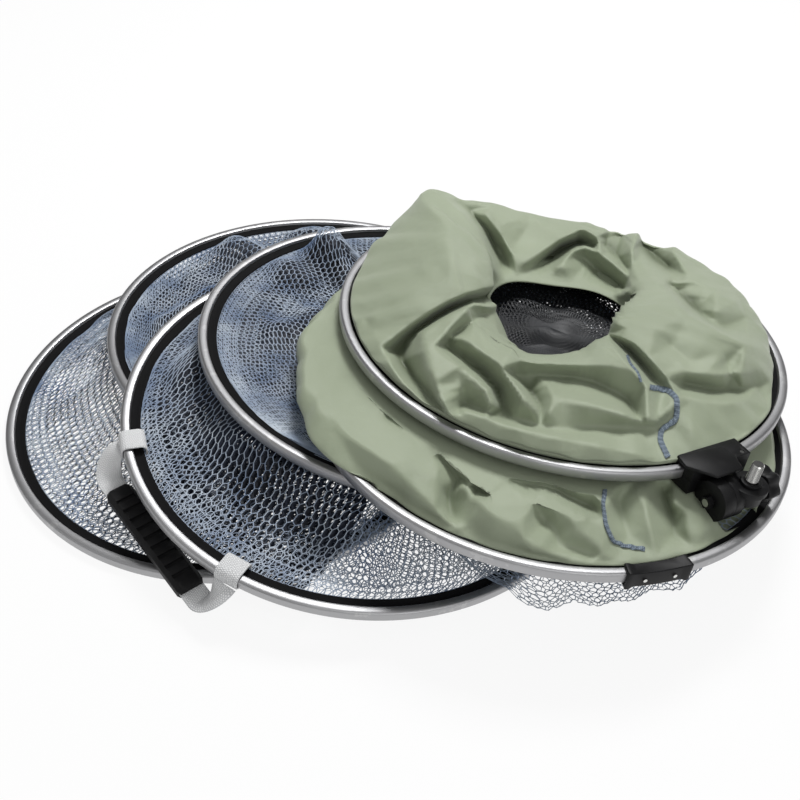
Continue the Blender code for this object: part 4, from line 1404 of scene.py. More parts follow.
@dataclass
class Sleeve:
    """The nylon sleeve from hoop 5's band to hoop 6's, bunched round its mouth.

    The tables give each ring of the bunch at every 30 degrees: radii as shares of hoop 6's, heights as
    shares of the bulge. Stations are counted along the cloth: 0 hoop 5's band, 3 the rim under hoop 6,
    4 its heel, 5 to 9 the pleats, 10 the mouth's foot, 12 the lip, 14 the ridge, 15 the shoulder, 18 hoop
    6's band.
    """

    wardrobe: Wardrobe
    eye: Eye
    bulge: float = 0.047
    throat_offset: float = -0.008
    seam_step: float = 1.2
    seam_rise: float = 0.0020
    seam_edge: float = 0.0008
    neck_level: float = -0.0030
    bend_from: float = -0.0112
    bend_to: float = -0.0076
    lock_turn: float = 0.0256
    relief: float = 2.0
    crumples: float = 0.0016
    flat_width: float = 1.21
    flat_length: float = 0.40
    columns: int = 600
    rows: tuple[int, ...] = (12, 15, 20, 4, 2, 2, 2, 2, 2, 3, 6, 12, 14, 14, 24, 22, 4, 3)
    foot_radius: Ring = (0.052, 0.078, 0.088, 0.082, 0.088, 0.072, 0.052, 0.052, 0.054, 0.052, 0.046, 0.044)
    shoulder_radius: Ring = (0.93, 0.96, 0.95, 0.92, 0.95, 0.92, 0.92, 0.93, 0.93, 0.93, 0.91, 0.91)
    shoulder_height: Ring = (0.38, 0.38, 0.26, 0.26, 0.53, 0.30, 0.22, 0.22, 0.22, 0.22, 0.18, 0.22)
    ridge_radius: Ring = (0.80, 0.87, 0.89, 0.87, 0.90, 0.70, 0.58, 0.58, 0.58, 0.58, 0.60, 0.70)
    ridge_height: Ring = (0.62, 0.50, 0.36, 0.40, 0.72, 0.92, 0.78, 0.56, 0.44, 0.46, 0.54, 0.62)
    lip_radius: Ring = (0.28, 0.44, 0.64, 0.70, 0.64, 0.44, 0.38, 0.42, 0.42, 0.36, 0.28, 0.24)
    lip_height: Ring = (0.62, 0.46, 0.18, 0.14, 0.34, 0.60, 0.58, 0.32, 0.26, 0.38, 0.54, 0.62)
    depth: Grid = field(init=False)

    def throat(self) -> Grid:
        """Middle of the mouth, in the top hoop's plane."""
        return HOOPS[6].at(90.0, self.throat_offset)

    def foot(self, azimuth: Grid, grow: float = 0.0) -> Grid:
        """Where the cloth leaves the dark net at the mouth's foot.

        Args:
            azimuth: degrees of the columns.
            grow: metres added to its radius.

        Returns:
            The foot's points.
        """
        radius = round_table(self.foot_radius, azimuth) + grow
        point = self.throat() + around(azimuth) * radius[..., None]
        point[..., 2] = HOOPS[6].level(point[..., 0], point[..., 1]) + self.neck_level
        return point

    def ring(self, name: str, azimuth: Grid, fold: float, wave: Grid) -> Grid:
        """One ring of the bunched part.

        Args:
            name: shoulder, ridge or lip.
            azimuth: degrees of the columns.
            fold: height of the small waves.
            wave: the small waves, from -1 to 1.

        Returns:
            The ring's points.
        """
        radius = round_table(getattr(self, f"{name}_radius"), azimuth)
        height = round_table(getattr(self, f"{name}_height"), azimuth)
        for pull in (pull for pull in PULLS if pull.ring == name):
            share = window(azimuth, pull.azimuth, pull.half, pull.soft)
            radius, height = radius + pull.out * share, height + pull.up * share
        return HOOPS[6].at(azimuth, radius * HOOPS[6].middle, height * self.bulge + fold * wave)

    def skirt_stations(self, azimuth: Grid, wave: Grid, small: Grid) -> list[Grid]:
        """The skirt from hoop 5's band to the heel under hoop 6. It spills over hoop 5 on the left.

        Args:
            azimuth: degrees of the columns.
            wave: broad waves, from -1 to 1.
            small: small waves, from -1 to 1.

        Returns:
            The points of each station.
        """
        low, high = HOOPS[5], HOOPS[6]
        lock = window(azimuth, *LOCK_WINDOW)
        spill = window(azimuth, *SPILL_WINDOW)
        out = 0.0025 + 0.0015 * small + spill * (0.024 + 0.002 * wave)
        over = low.at(azimuth, low.net_edge + out, 0.0030 + 0.0010 * small + spill * 0.0075)
        rim = high.at(azimuth, high.net_edge - 0.002 - 0.012 * lock, -0.0064)
        middle = (over + rim) / 2
        middle[:, 2] += (0.0085 + 0.0045 * wave + 0.004 * spill) * (1 - lock) - 0.002
        heel = high.at(azimuth, high.net_edge - 0.03, -0.0062)
        return [low.at(azimuth, low.net_edge), over, middle, rim, heel]

    def stations(self, azimuth: Grid) -> list[Grid]:
        """The sleeve's path at every azimuth, from hoop 5's band to hoop 6's.

        Args:
            azimuth: degrees of the columns.

        Returns:
            The points of each station.
        """
        high = HOOPS[6]
        a = np.radians(azimuth)
        wave = 0.5 * np.sin(9 * a) + 0.3 * np.sin(23 * a + 1.0) + 0.3 * np.sin(5 * a + 2.0)
        small = 0.5 * np.sin(37 * a + 2.0) + 0.5 * np.sin(17 * a + 0.5)
        skirt = self.skirt_stations(azimuth, wave, small)
        foot = self.foot(azimuth)
        pleats = []
        for share, lift in PLEATS:
            point = mix(foot + around(azimuth) * 0.010, skirt[-1], share)
            point[:, 2] = high.level(point[:, 0], point[:, 1]) + lift
            pleats.append(point)
        lip = self.ring("lip", azimuth, 0.0008, wave)
        ridge = self.ring("ridge", azimuth, 0.0016, wave)
        shoulder = self.ring("shoulder", azimuth, 0.0020, small)
        crest = (lip + ridge) / 2 + np.array((0, 0, 0.004))
        bare = window(azimuth, *BARE_WINDOW)
        tuck = high.at(azimuth, high.middle - 0.0052 - 0.004 * bare, 0.0062 + 0.001 * small - 0.003 * bare)
        under = high.at(azimuth, high.middle - 0.0072 - 0.003 * bare, 0.0022)
        return [*skirt, *pleats, foot, mix(foot, lip, 0.45), lip, crest, ridge, shoulder, tuck, under,
                high.at(azimuth, high.net_edge)]

    def surface(self) -> tuple[Grid, Grid]:
        """Points of the cloth, and each row's place along the path.

        Returns:
            Both.
        """
        path = np.stack(self.stations(np.arange(self.columns) * 360.0 / self.columns))
        last = len(path) - 1
        where = np.concatenate([i + np.arange(n) / n for i, n in enumerate(self.rows)] + [[float(last)]])
        i = np.minimum(where.astype(int), last - 1)
        before, after = np.maximum(i - 1, 0), np.minimum(i + 2, last)
        return spline(path[before], path[i], path[i + 1], path[after], (where - i)[:, None, None]), where

    def crumple(self, grid: Grid) -> Grid:
        """Fine sharp wrinkles of the cloth, from -1 to 1.

        Args:
            grid: points of the cloth.

        Returns:
            One value for each point.
        """
        out = []
        for x, y, z in grid.reshape(-1, 3):
            bend = noise.noise(Vector((x, y, z)) * 18.0) * 0.03
            coarse = 1 - 2 * abs(noise.noise(Vector((x + bend, y * 0.7, z)) * 34.0))
            fine = 1 - 2 * abs(noise.noise(Vector((x * 0.6, y + bend, z)) * 70.0 + Vector((3, 7, 1))))
            out.append(0.75 * coarse + 0.25 * fine - 0.45)
        return np.array(out).reshape(grid.shape[:2])

    def outward(self, grid: Grid) -> Grid:
        """Normals of the cloth, turned upwards.

        Args:
            grid: points of the cloth.

        Returns:
            A unit vector for each point.
        """
        sideways = np.roll(grid, -1, axis=1) - np.roll(grid, 1, axis=1)
        normal = np.cross(np.gradient(grid, axis=0), sideways)
        normal /= np.maximum(np.linalg.norm(normal, axis=-1, keepdims=True), 1e-9)
        return np.where(normal[..., 2:] < 0, -normal, normal)

    def shape(self, grid: Grid, where: Grid) -> Grid:
        """Add the folds to the surface.

        Args:
            grid: points of the cloth.
            where: each row's place along the path's stations.

        Returns:
            The points with the folds.
        """
        seen = self.eye.seen(grid)
        turn = np.arange(0.0, 360.0, 5.0)
        front = turn[(turn > 158) | (turn < 8)]
        high = HOOPS[6]
        rim = self.eye.seen(high.at(front, high.middle - 0.005, 0.005))
        under = self.eye.seen(high.at(turn, high.middle + 0.003, -0.005))
        band = self.eye.seen(HOOPS[5].at(turn, HOOPS[5].net_edge))
        bunch = (ease((where - 10.3) / 0.9) * ease((15.95 - where) / 0.6))[:, None]
        skirt = (ease((where - 0.8) / 0.6) * ease((2.7 - where) / 0.5))[:, None]
        ray = np.array(self.eye.place) - grid
        ray /= np.linalg.norm(ray, axis=-1, keepdims=True)
        normal = self.outward(grid)
        facing = ease((ray * normal).sum(axis=-1) / 0.3)
        upper = Facets(BUNCH_LINES, np.concatenate((rim, np.array(BACK_OUTLINE, float)))).over(seen)
        lower = Facets(SKIRT_LINES, np.concatenate((under, band))).over(seen)
        height = (facing * 0.9 + 0.1) * (upper * bunch + lower * skirt)
        # Fold depth from 0 to 1, which the nylon turns into painted shade in the valleys.
        self.depth = np.clip(0.5 + height / DEPTH_RANGE, 0, 1)
        amount = self.relief * height + self.crumples * self.crumple(grid) * (bunch + 0.7 * skirt)
        return grid + mix(normal, ray, facing[..., None]) * amount[..., None]

    def soften(self, grid: Grid) -> Grid:
        """Ease out single rows that stand up, keeping both edges.

        Args:
            grid: points of the cloth.

        Returns:
            The eased points.
        """
        out = grid.copy()
        sides = np.roll(grid, 1, axis=1)[1:-1] + np.roll(grid, -1, axis=1)[1:-1]
        out[1:-1] = mix(grid[1:-1], (grid[:-2] + grid[2:] + sides) / 4, 0.4)
        return out

    def clear(self, grid: Grid, where: Grid) -> Grid:
        """Keep the cloth off the hoops and the lock, upright where it bends under hoop 6.

        Args:
            grid: points of the cloth.
            where: each row's place along the path's stations.

        Returns:
            The points, moved where needed.
        """
        low, high = HOOPS[5], HOOPS[6]
        x, y, z = grid[..., 0], grid[..., 1], grid[..., 2]
        skirt = (where < SKIRT_END)[:, None]
        tube = np.abs(high.off(x, y)) < 0.009
        z = np.where(skirt & tube, np.minimum(z, high.level(x, y) - HOOP_HEIGHT / 2 - 0.0015), z)
        rim = np.abs(low.off(x, y)) < 0.0065
        z = np.where(skirt & rim, np.maximum(z, low.level(x, y) + HOOP_HEIGHT / 2 + 0.0012), z)
        inside = skirt & (low.off(x, y) < 0)
        z = np.where(inside, np.maximum(z, low.level(x, y) - HOOP_HEIGHT / 2 + 0.001), z)
        start, end = self.bend_from - 0.0006, self.bend_to + 0.0008
        row = int(np.searchsorted(where, RIM))
        inward = ((where < RIM) * np.clip((where - 2.55) / 0.15, 0, 1))[:, None]
        x, y = mix(x, x[row], inward), mix(y, y[row], inward)
        plane = high.level(x, y)
        rise = np.clip((where - BEND_ROW) / (RIM - BEND_ROW), 0, 1)[:, None]
        below, beyond = (where < BEND_ROW + 0.01)[:, None], (where > RIM - 0.01)[:, None]
        column = ((where > BEND_ROW + 0.01) & (where < RIM))[:, None]
        z = np.where(below, np.minimum(z, plane + start), z)
        z = np.where(column, plane + mix(start, end, rise), z)
        z = np.where(beyond, np.maximum(z, plane + end), z)
        return self.lock_room(np.stack((x, y, z), -1), where)

    def lock_room(self, grid: Grid, where: Grid) -> Grid:
        """Keep the skirt out of the space that the lock's barrel turns in.

        Args:
            grid: points of the cloth.
            where: each row's place along the path's stations.

        Returns:
            The points, moved where needed.
        """
        axis = np.array(TILT_AXIS)
        off = grid - np.array(TILT_PLACE)
        along = off @ axis
        off -= along[..., None] * axis
        gap = np.maximum(np.linalg.norm(off, axis=-1), 1e-6)
        share = near(along + 0.0018, 0.018, 0.012) * (where < SKIRT_END)[:, None]
        push = np.maximum(self.lock_turn * share - gap, 0.0) / gap
        return grid + off * push[..., None]

    def hold(self, item: Item) -> None:
        """Put the piece's place into its mesh.

        Args:
            item: the sleeve or a seam.
        """
        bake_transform(item)

    def front(self, seen: Grid, points: Grid, spot: Grid, lift: float) -> Grid:
        """The point of the cloth that is seen at a spot, lifted towards the camera.

        Args:
            seen: where the cloth's points are seen.
            points: the points.
            spot: a place in the picture.
            lift: metres towards the camera.

        Returns:
            The point.
        """
        gap = ((seen - spot) ** 2).sum(axis=1)
        close = np.flatnonzero(gap < 9.0)
        close = close if len(close) else np.array([int(np.argmin(gap))])
        depth = np.linalg.norm(np.array(self.eye.place) - points[close], axis=1)
        shown = depth < depth.min() + 0.012
        share = np.exp(-gap[close][shown] / 2)
        share /= share.sum()
        middle = (points[close][shown] * share[:, None]).sum(axis=0)
        way = np.array(self.eye.place) - middle
        return middle + way / np.linalg.norm(way) * lift

    def seam(self, name: str, line: Sequence[tuple[float, float]], width: float, top: Grid) -> Item:
        """A strip of overlock stitching on the cloth.

        Args:
            name: the object's name.
            line: where the strip is seen.
            width: its width in metres.
            top: points of the cloth that can carry it.

        Returns:
            The object.
        """
        seen, top = self.eye.seen(top).reshape(-1, 2), top.reshape(-1, 3)
        points = np.array(line, float)
        steps = reach(points)
        fine = np.linspace(0, steps[-1], max(int(steps[-1] / self.seam_step), 8))
        along = np.stack([np.interp(fine, steps, points[:, k]) for k in (0, 1)], -1)
        for _ in range(6):
            along[1:-1] = (along[:-2] + along[2:]) / 4 + along[1:-1] / 2
        way = np.gradient(along, axis=0)
        side = np.stack((-way[:, 1], way[:, 0]), -1)
        side *= width * self.eye.focal / self.eye.distance / np.linalg.norm(side, axis=1, keepdims=True)
        rows = []
        for offset in (-0.5, -0.3, -0.1, 0.1, 0.3, 0.5):
            edge = abs(offset) == 0.5
            ragged = offset * (1 + 0.10 * edge * np.sin(fine * 2.6))
            lift = self.seam_edge if edge else self.seam_rise
            spots = along + side * ragged[:, None]
            rows.append(np.array([self.front(seen, top, spot, lift) for spot in spots]))
        strip = np.stack(rows)
        for _ in range(3):
            strip[:, 1:-1] = (strip[:, :-2] + strip[:, 2:]) / 4 + strip[:, 1:-1] / 2
        across, length = np.linspace(0, width, len(rows))[:, None], reach(strip[2])
        uv = np.stack(np.broadcast_arrays(across, length), -1).reshape(-1, 2)
        item = mesh_object(name, strip.reshape(-1, 3), grid_faces(len(rows), len(fine), False),
                           self.wardrobe.seam, uv)
        self.hold(item)
        stand_in(item, Finish.NET)
        return item

    def build(self) -> None:
        """Make the sleeve and its seams."""
        grid, where = self.surface()
        grid = self.clear(self.soften(self.shape(grid, where)), where)
        rows, columns = grid.shape[:2]
        steps = np.linalg.norm(np.diff(grid, axis=0), axis=-1).mean(axis=1)
        along = np.concatenate(([0], np.cumsum(steps)))
        across = np.arange(columns + 1) / columns * self.flat_width
        closed = np.concatenate((grid, grid[:, :1]), axis=1)
        uv = np.stack(np.meshgrid(across, along), -1).reshape(-1, 2)
        faces = grid_faces(rows, columns + 1, False)[:, ::-1]
        item = mesh_object("nylon_sleeve", closed.reshape(-1, 3), faces, self.wardrobe.of[Finish.NYLON], uv)
        # The fold depth goes to the material as the attribute fold, for its painted shade.
        depth = np.concatenate((self.depth, self.depth[:, :1]), axis=1).astype(np.float32)
        item.data.attributes.new("fold", "FLOAT", "POINT").data.foreach_set("value", depth.ravel())
        self.hold(item)
        stand_in(item, Finish.NYLON, "sleeve")
        carried = {"bunch": grid[where > 11.2], "skirt": grid[(where > 0.9) & (where < RIM)]}
        seams = [self.seam(f"overlock_seam_{i}", line, width, carried[part])
                 for i, (part, width, line) in enumerate(SEAMS, 1)]
        LOG.info("%s: %.3f square metres", item.name, sum(face.area for face in item.data.polygons))


@dataclass
class MouthNet:
    """The net seen down the sleeve's mouth, coloured near black, in a few crumpled layers."""

    wardrobe: Wardrobe
    sleeve: Sleeve
    offset: float = 0.022
    grow: float = 0.020
    girth: float = math.tau * 0.06
    layers: int = 3
    lift: float = 0.0085
    layer_gap: float = 0.0022
    height: float = 0.0045
    yarn: float = 0.0009
    yarn_step: float = 0.0006
    cell: float = 0.0042

    def build(self) -> None:
        """Make the layers."""
        low = HOOPS[5]
        azimuth = np.arange(0.0, 360.0, 2.0)
        throat = HOOPS[6].at(90.0, self.offset)
        edge = self.sleeve.foot(azimuth, self.grow) + throat - self.sleeve.throat()
        share = np.linspace(0.02, 1, 30)[:, None]
        for layer in range(self.layers):
            grid = throat + (edge - throat) * share[..., None]
            x, y = grid[..., 0], grid[..., 1]
            crumple = np.sin(70 * x + 95 * y + 2 * layer) * np.sin(45 * y - 60 * x + layer)
            crumple += 0.5 * np.sin(160 * y + 40 * x)
            rise = self.height * (1 - share**4) * crumple
            grid[..., 2] = low.level(x, y) + self.lift - self.layer_gap * layer + rise
            net = Netting(self.yarn + self.yarn_step * layer, self.cell)
            item = net.lay(f"mouth_mesh_{layer + 1}", grid, np.array(low.normal),
                           self.wardrobe.of[Finish.DARK], self.girth, 50 + layer)
            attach(item, BODIES[5])
            stand_in(item, Finish.DARK, *(["mouth_net"] if layer == 0 else []))


# Handle


@dataclass
class CarryHandle:
    """Webbing strap with its loops round hoop 3."""

    wardrobe: Wardrobe
    first: float = -162.0
    last: float = -117.0
    width: float = 0.020
    thick: float = 0.0015
    loop_inner: float = 0.0145
    slack: float = 0.0010
    reach: float = 0.021
    drop: float = 0.0250
    bend_steps: int = 16
    straight_steps: int = 12
    swing_share: float = 0.75

    def frame(self) -> Matrix:
        """Frame at the middle of the line between the loops.

        Returns:
            The matrix, X outwards, Y along the line.
        """
        hoop = HOOPS[3]
        start, end = (Vector(hoop.at(a, hoop.middle)) for a in (self.first, self.last))
        along = (end - start).normalized()
        outwards = along.cross(Vector((0, 0, 1))).normalized()
        turn = Matrix((outwards, along, outwards.cross(along))).transposed()
        return Matrix.Translation((start + end) / 2) @ turn.to_4x4()

    def route(self) -> tuple[Grid, Grid]:
        """Points of the strap's middle and its width directions.

        Returns:
            Both, one row for each point.
        """
        frame = self.frame()
        back = frame.inverted()
        hoop = HOOPS[3]
        edge = hoop.middle + HOOP_WIDTH / 2 + self.slack + self.thick / 2
        lean = math.radians(self.last - self.first) / 2
        sides: list[list[tuple[Vector, Vector]]] = []
        for azimuth, way in ((self.first, 1), (self.last, -1)):
            start = back @ Vector(hoop.at(azimuth, edge, -HOOP_HEIGHT / 2))
            bend = (self.reach - start.x) / (1 + math.sin(lean))
            run = []
            for share in np.linspace(0, 1, self.bend_steps + 1):
                turn = (math.pi / 2 + lean) * share - lean
                x = start.x + bend * (math.sin(turn) + math.sin(lean))
                y = start.y + way * bend * (math.cos(lean) - math.cos(turn))
                z = mix(start.z, -self.drop, ease(share))
                side = Vector((-math.sin(turn), way * math.cos(turn), 0))
                run.append((frame @ Vector((x, y, z)), frame.to_3x3() @ side))
            sides.append(run)
        (near_end, side), (far_end, _) = sides[0][-1], sides[1][-1]
        shares = (i / self.straight_steps for i in range(1, self.straight_steps))
        middle = [(near_end.lerp(far_end, share), side) for share in shares]
        points, widths = zip(*sides[0], *middle, *reversed(sides[1]))
        return np.array(points), np.array(widths)

    def ribbon(self, name: str, points: Grid, widths: Grid, closed: bool) -> Item:
        """A woven tape with rounded edges along points.

        Args:
            name: the object's name.
            points: the middle line.
            widths: the direction of the width at each point.
            closed: whether the line closes.

        Returns:
            The object.
        """
        if closed:
            tangent = np.roll(points, -1, axis=0) - np.roll(points, 1, axis=0)
        else:
            tangent = np.gradient(points, axis=0)
        tangent /= np.linalg.norm(tangent, axis=1, keepdims=True)
        side = widths - tangent * (widths * tangent).sum(axis=1, keepdims=True)
        side /= np.linalg.norm(side, axis=1, keepdims=True)
        face = np.cross(tangent, side)
        across = np.array((-1, -0.94, -0.7, -0.35, 0, 0.35, 0.7, 0.94, 1)) * self.width / 2
        swell = np.array((0.35, 0.9, 1, 1, 1, 1, 1, 0.9, 0.35)) * self.thick / 2
        outline = [*zip(across, swell), *zip(across[::-1], -swell[::-1])]
        grid = np.stack([points + side * x + face * z for x, z in outline], 1)
        if closed:
            grid, points = np.concatenate((grid, grid[:1])), np.concatenate((points, points[:1]))
        uv = np.stack(np.broadcast_arrays([x for x, _ in outline], reach(points)[:, None]), -1).reshape(-1, 2)
        return mesh_object(name, grid.reshape(-1, 3), grid_faces(*grid.shape[:2], True),
                           self.wardrobe.of[Finish.WEBBING], uv)

    def loop(self, azimuth: float, number: int) -> Item:
        """One sewn loop round the hoop's section and band.

        Args:
            azimuth: degrees on hoop 3.
            number: its number.

        Returns:
            The object.
        """
        hoop = HOOPS[3]
        half = HOOP_HEIGHT / 2 + self.slack + self.thick / 2
        corner = half * 0.75
        inner = hoop.middle - self.loop_inner + corner
        outer = hoop.middle + HOOP_WIDTH / 2 + self.slack - corner
        section = []
        for middle, start in (((outer, half - corner), 90), ((outer, corner - half), 0),
                              ((inner, corner - half), -90), ((inner, half - corner), -180)):
            section += arc(middle, corner, start, 15)
        frame = hoop.frame() @ Matrix.Rotation(math.radians(azimuth), 4, "Z")
        points = np.array([frame @ Vector((r, 0, z)) for r, z in section])
        width = np.array(frame.to_3x3() @ Vector((0, 1, 0)))
        return self.ribbon(f"webbing_loop_{number}", points, np.tile(width, (len(points), 1)), True)

    def build(self) -> None:
        """Make the strap and the loops."""
        points, widths = self.route()
        strap = self.ribbon("webbing_strap", points, widths, False)
        frame = self.frame()
        base, out = Vector(frame.col[3][:3]), Vector(frame.col[0][:3])
        ways = [(Vector(p) - base).dot(out) for p in points]
        start, end = min(ways), mix(min(ways), max(ways), self.swing_share)
        tuple(base + out * start)
        tuple(base + out * end)
        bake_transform(strap)
        stand_in(strap, Finish.WEBBING, "handle_strap")
        for number, azimuth in enumerate((self.first, self.last), 1):
            loop = self.loop(azimuth, number)
            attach(loop, BODIES[3])
            stand_in(loop, Finish.WEBBING)


# Dressed CAD nodes


@dataclass(frozen=True)
class Softened:
    """How a CAD node is dressed: its body, its finish, and the width and steps of its rounded edges."""

    node: str
    body: str
    finish: Finish
    width: float
    segments: int = 2


@dataclass
class Dressed:
    """CAD nodes whose shape is right, with softened edges or only a finish."""

    wardrobe: Wardrobe
    frame: dict[str, Any]
    flat_angle: float = 1.0
    edge_angle: float = 40.0
    smooth_angle: float = 50.0

    def soften(self, plan: Softened) -> None:
        """Copy a node, round its edges and let the copy stand for it.

        Args:
            plan: what is done to which node.
        """
        item = linked(f"fine_{plan.node}", self.frame["nodes"][plan.node].data.copy())
        activate(item)
        bpy.ops.object.mode_set(mode="EDIT")
        bpy.ops.mesh.select_all(action="SELECT")
        bpy.ops.mesh.remove_doubles(threshold=MERGE)
        bpy.ops.mesh.dissolve_limited(angle_limit=math.radians(self.flat_angle))
        bpy.ops.object.mode_set(mode="OBJECT")
        modify(item, "BEVEL", width=plan.width, segments=plan.segments, limit_method="ANGLE",
               angle_limit=math.radians(self.edge_angle))
        settle(item, item.name, self.wardrobe.of[plan.finish], Matrix.Identity(4), self.smooth_angle)
        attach(item, plan.body)
        stand_in(item, plan.finish, plan.node)

    def build(self) -> None:
        """Dress the lock, the joiner and the grip."""
        for plan in SOFTENED:
            self.soften(plan)
        for node, finish in PLAIN.items():
            shown = self.frame["nodes"][node]
            shown.data.materials.clear()
            shown.data.materials.append(self.wardrobe.of[finish])
            LOG.info("%s: dressed CAD node", node)


# Studio


@dataclass
class Studio:
    """Pale floor, soft light and the camera."""

    eye: Eye
    floor_bright: float = 0.90
    sky: tuple[float, float] = (0.10, 0.46)
    behind: float = 0.04
    lamps: tuple[tuple[str, tuple[float, float, float], float, float], ...] = (
        ("key", (0.25, 0.75, 1.4), 0.5, 20.5),
        ("fill", (0.7, -1.6, 1.1), 1.2, 8.5),
        ("side", (-1.6, -0.9, 0.9), 1.3, 1.6),
    )

    def floor(self) -> None:
        """A white floor that keeps the object's shadow."""
        deselect()
        bpy.ops.mesh.primitive_plane_add(size=12.0, location=(0, 0, -0.0002))
        ground = bpy.context.object
        ground.name = "studio_floor"
        paint = Paint("studio_floor")
        paint.set(Base_Color=(0.88, 0.88, 0.88), Roughness=0.9)
        ground.data.materials.append(paint.material)
        light = paint.node("ShaderNodeEmission", {}, {"Color": (1.0, 1.0, 1.0), "Strength": 1.0})
        camera = paint.node("ShaderNodeLightPath", {}, {}, "Is Camera Ray")
        share = camera.most(camera.beside("Is Glossy Ray")) * self.floor_bright
        shader = Wire(paint, paint.shader.outputs[0])
        mixed = paint.node("ShaderNodeMixShader", {}, {0: share, 1: shader, 2: light})
        paint.feed(paint.tree.nodes["Material Output"].inputs["Surface"], mixed)

    def world(self) -> None:
        """A sky that is white to the camera and a soft grey to the object, dimmer behind in reflections."""
        world = bpy.data.worlds.new("studio")
        world.use_nodes = True
        graph = Graph(world.node_tree)
        _, y, z = graph.split(graph.place("Generated"))
        camera = graph.node("ShaderNodeLightPath", {}, {}, "Is Camera Ray")
        sky = graph.spread(z, (0.05, 0.75), self.sky)
        dim = graph.spread(y, (0.15, 0.6), (0.0, 0.9)) * camera.beside("Is Glossy Ray")
        shade = graph.node("ShaderNodeBackground", {}, {"Color": sky + dim * (self.behind - sky)})
        white = graph.node("ShaderNodeBackground", {}, {"Color": (1.0, 1.0, 1.0)})
        mixed = graph.node("ShaderNodeMixShader", {}, {0: camera, 1: shade, 2: white})
        graph.feed(graph.tree.nodes["World Output"].inputs["Surface"], mixed)
        bpy.context.scene.world = world

    def lamp(self, name: str, place: tuple[float, float, float], size: float, power: float) -> None:
        """A square soft lamp that faces the object.

        Args:
            name: the lamp's name.
            place: where it hangs.
            size: length of its side.
            power: watts.
        """
        data = bpy.data.lights.new(name, "AREA")
        data.shape, data.size, data.energy = "SQUARE", size, power
        lamp = linked(name, data)
        lamp.location = place
        lamp.rotation_mode = "QUATERNION"
        lamp.rotation_quaternion = (-Vector(place)).to_track_quat("-Z", "Y")

    def camera(self) -> None:
        """The picture's camera."""
        data = bpy.data.cameras.new("picture_camera")
        data.sensor_width = 36.0
        data.lens = data.sensor_width * self.eye.focal / self.eye.frame
        data.clip_start, data.clip_end = 0.01, 50.0
        camera = linked("picture_camera", data)
        right, up, forward = self.eye.axes()
        turn = Matrix((right, up, -forward)).transposed().to_4x4()
        camera.matrix_world = Matrix.Translation(self.eye.place) @ turn
        bpy.context.scene.camera = camera

    def build(self) -> None:
        """Set the stage."""
        self.floor()
        for lamp in self.lamps:
            self.lamp(*lamp)
        self.world()
        self.camera()
        bpy.context.scene.view_settings.view_transform = "Standard"


# Tables


# Windows round a hoop, as (azimuth, half, soft) in degrees: the slack of wall 4, the lock, the skirt's
# spill over hoop 5, and the part of hoop 6 whose inside shows.
SLACK_WINDOW = (-32.0, 62.0, 26.0)
LOCK_WINDOW = (-55.0, 24.0, 18.0)
SPILL_WINDOW = (172.0, 34.0, 22.0)
BARE_WINDOW = (8.0, 26.0, 14.0)

# Places along the sleeve's stations: where it stands upright under hoop 6, its rim, and the skirt's end.
BEND_ROW = 2.7
RIM = 3.0
SKIRT_END = 9.5

# Metres of fold between the deepest valley, where the painted shade is darkest, and the highest ridge.
DEPTH_RANGE = 0.026

# Pleats under hoop 6: share of the way from the mouth to the heel, and height over the hoop's plane.
PLEATS = ((0.10, -0.0060), (0.85, -0.0054), (0.05, -0.0048), (0.85, -0.0042), (0.05, -0.0036))

SOFTENED = (
    Softened("lock_clamp_upper", "top_ring", Finish.PLASTIC, 0.0006),
    Softened("lock_clamp_lower", "top_ring", Finish.PLASTIC, 0.0006),
    Softened("lock_cover", "top_ring", Finish.PLASTIC, 0.0006),
    Softened("lock_barrel", "lock_arm", Finish.PLASTIC, 0.0006),
    Softened("lock_knob", "lock_bolt", Finish.PLASTIC, 0.0006),
    Softened("hoop_5_joiner", "ring_5", Finish.PLASTIC, 0.0028, 5),
    Softened("handle_grip", "handle", Finish.RUBBER, 0.0007),
    Softened("lock_stud_collar", "lock_arm", Finish.RUBBER, 0.0004),
)
PLAIN = {
    "lock_stud": Finish.STEEL,
    "lock_pivot_bolt": Finish.STEEL,
    "lock_bolt_nut": Finish.PLASTIC,
    "lock_clamp_screw_1": Finish.STEEL,
    "lock_clamp_screw_2": Finish.STEEL,
    "hoop_5_joiner_screw_1": Finish.STEEL,
    "hoop_5_joiner_screw_2": Finish.STEEL,
}

# Middle and direction of the lock's tilting bolt, in metres.
TILT_PLACE = (0.261671, -0.185187, 0.084652)
TILT_AXIS = (0.856153, 0.497797, -0.138564)

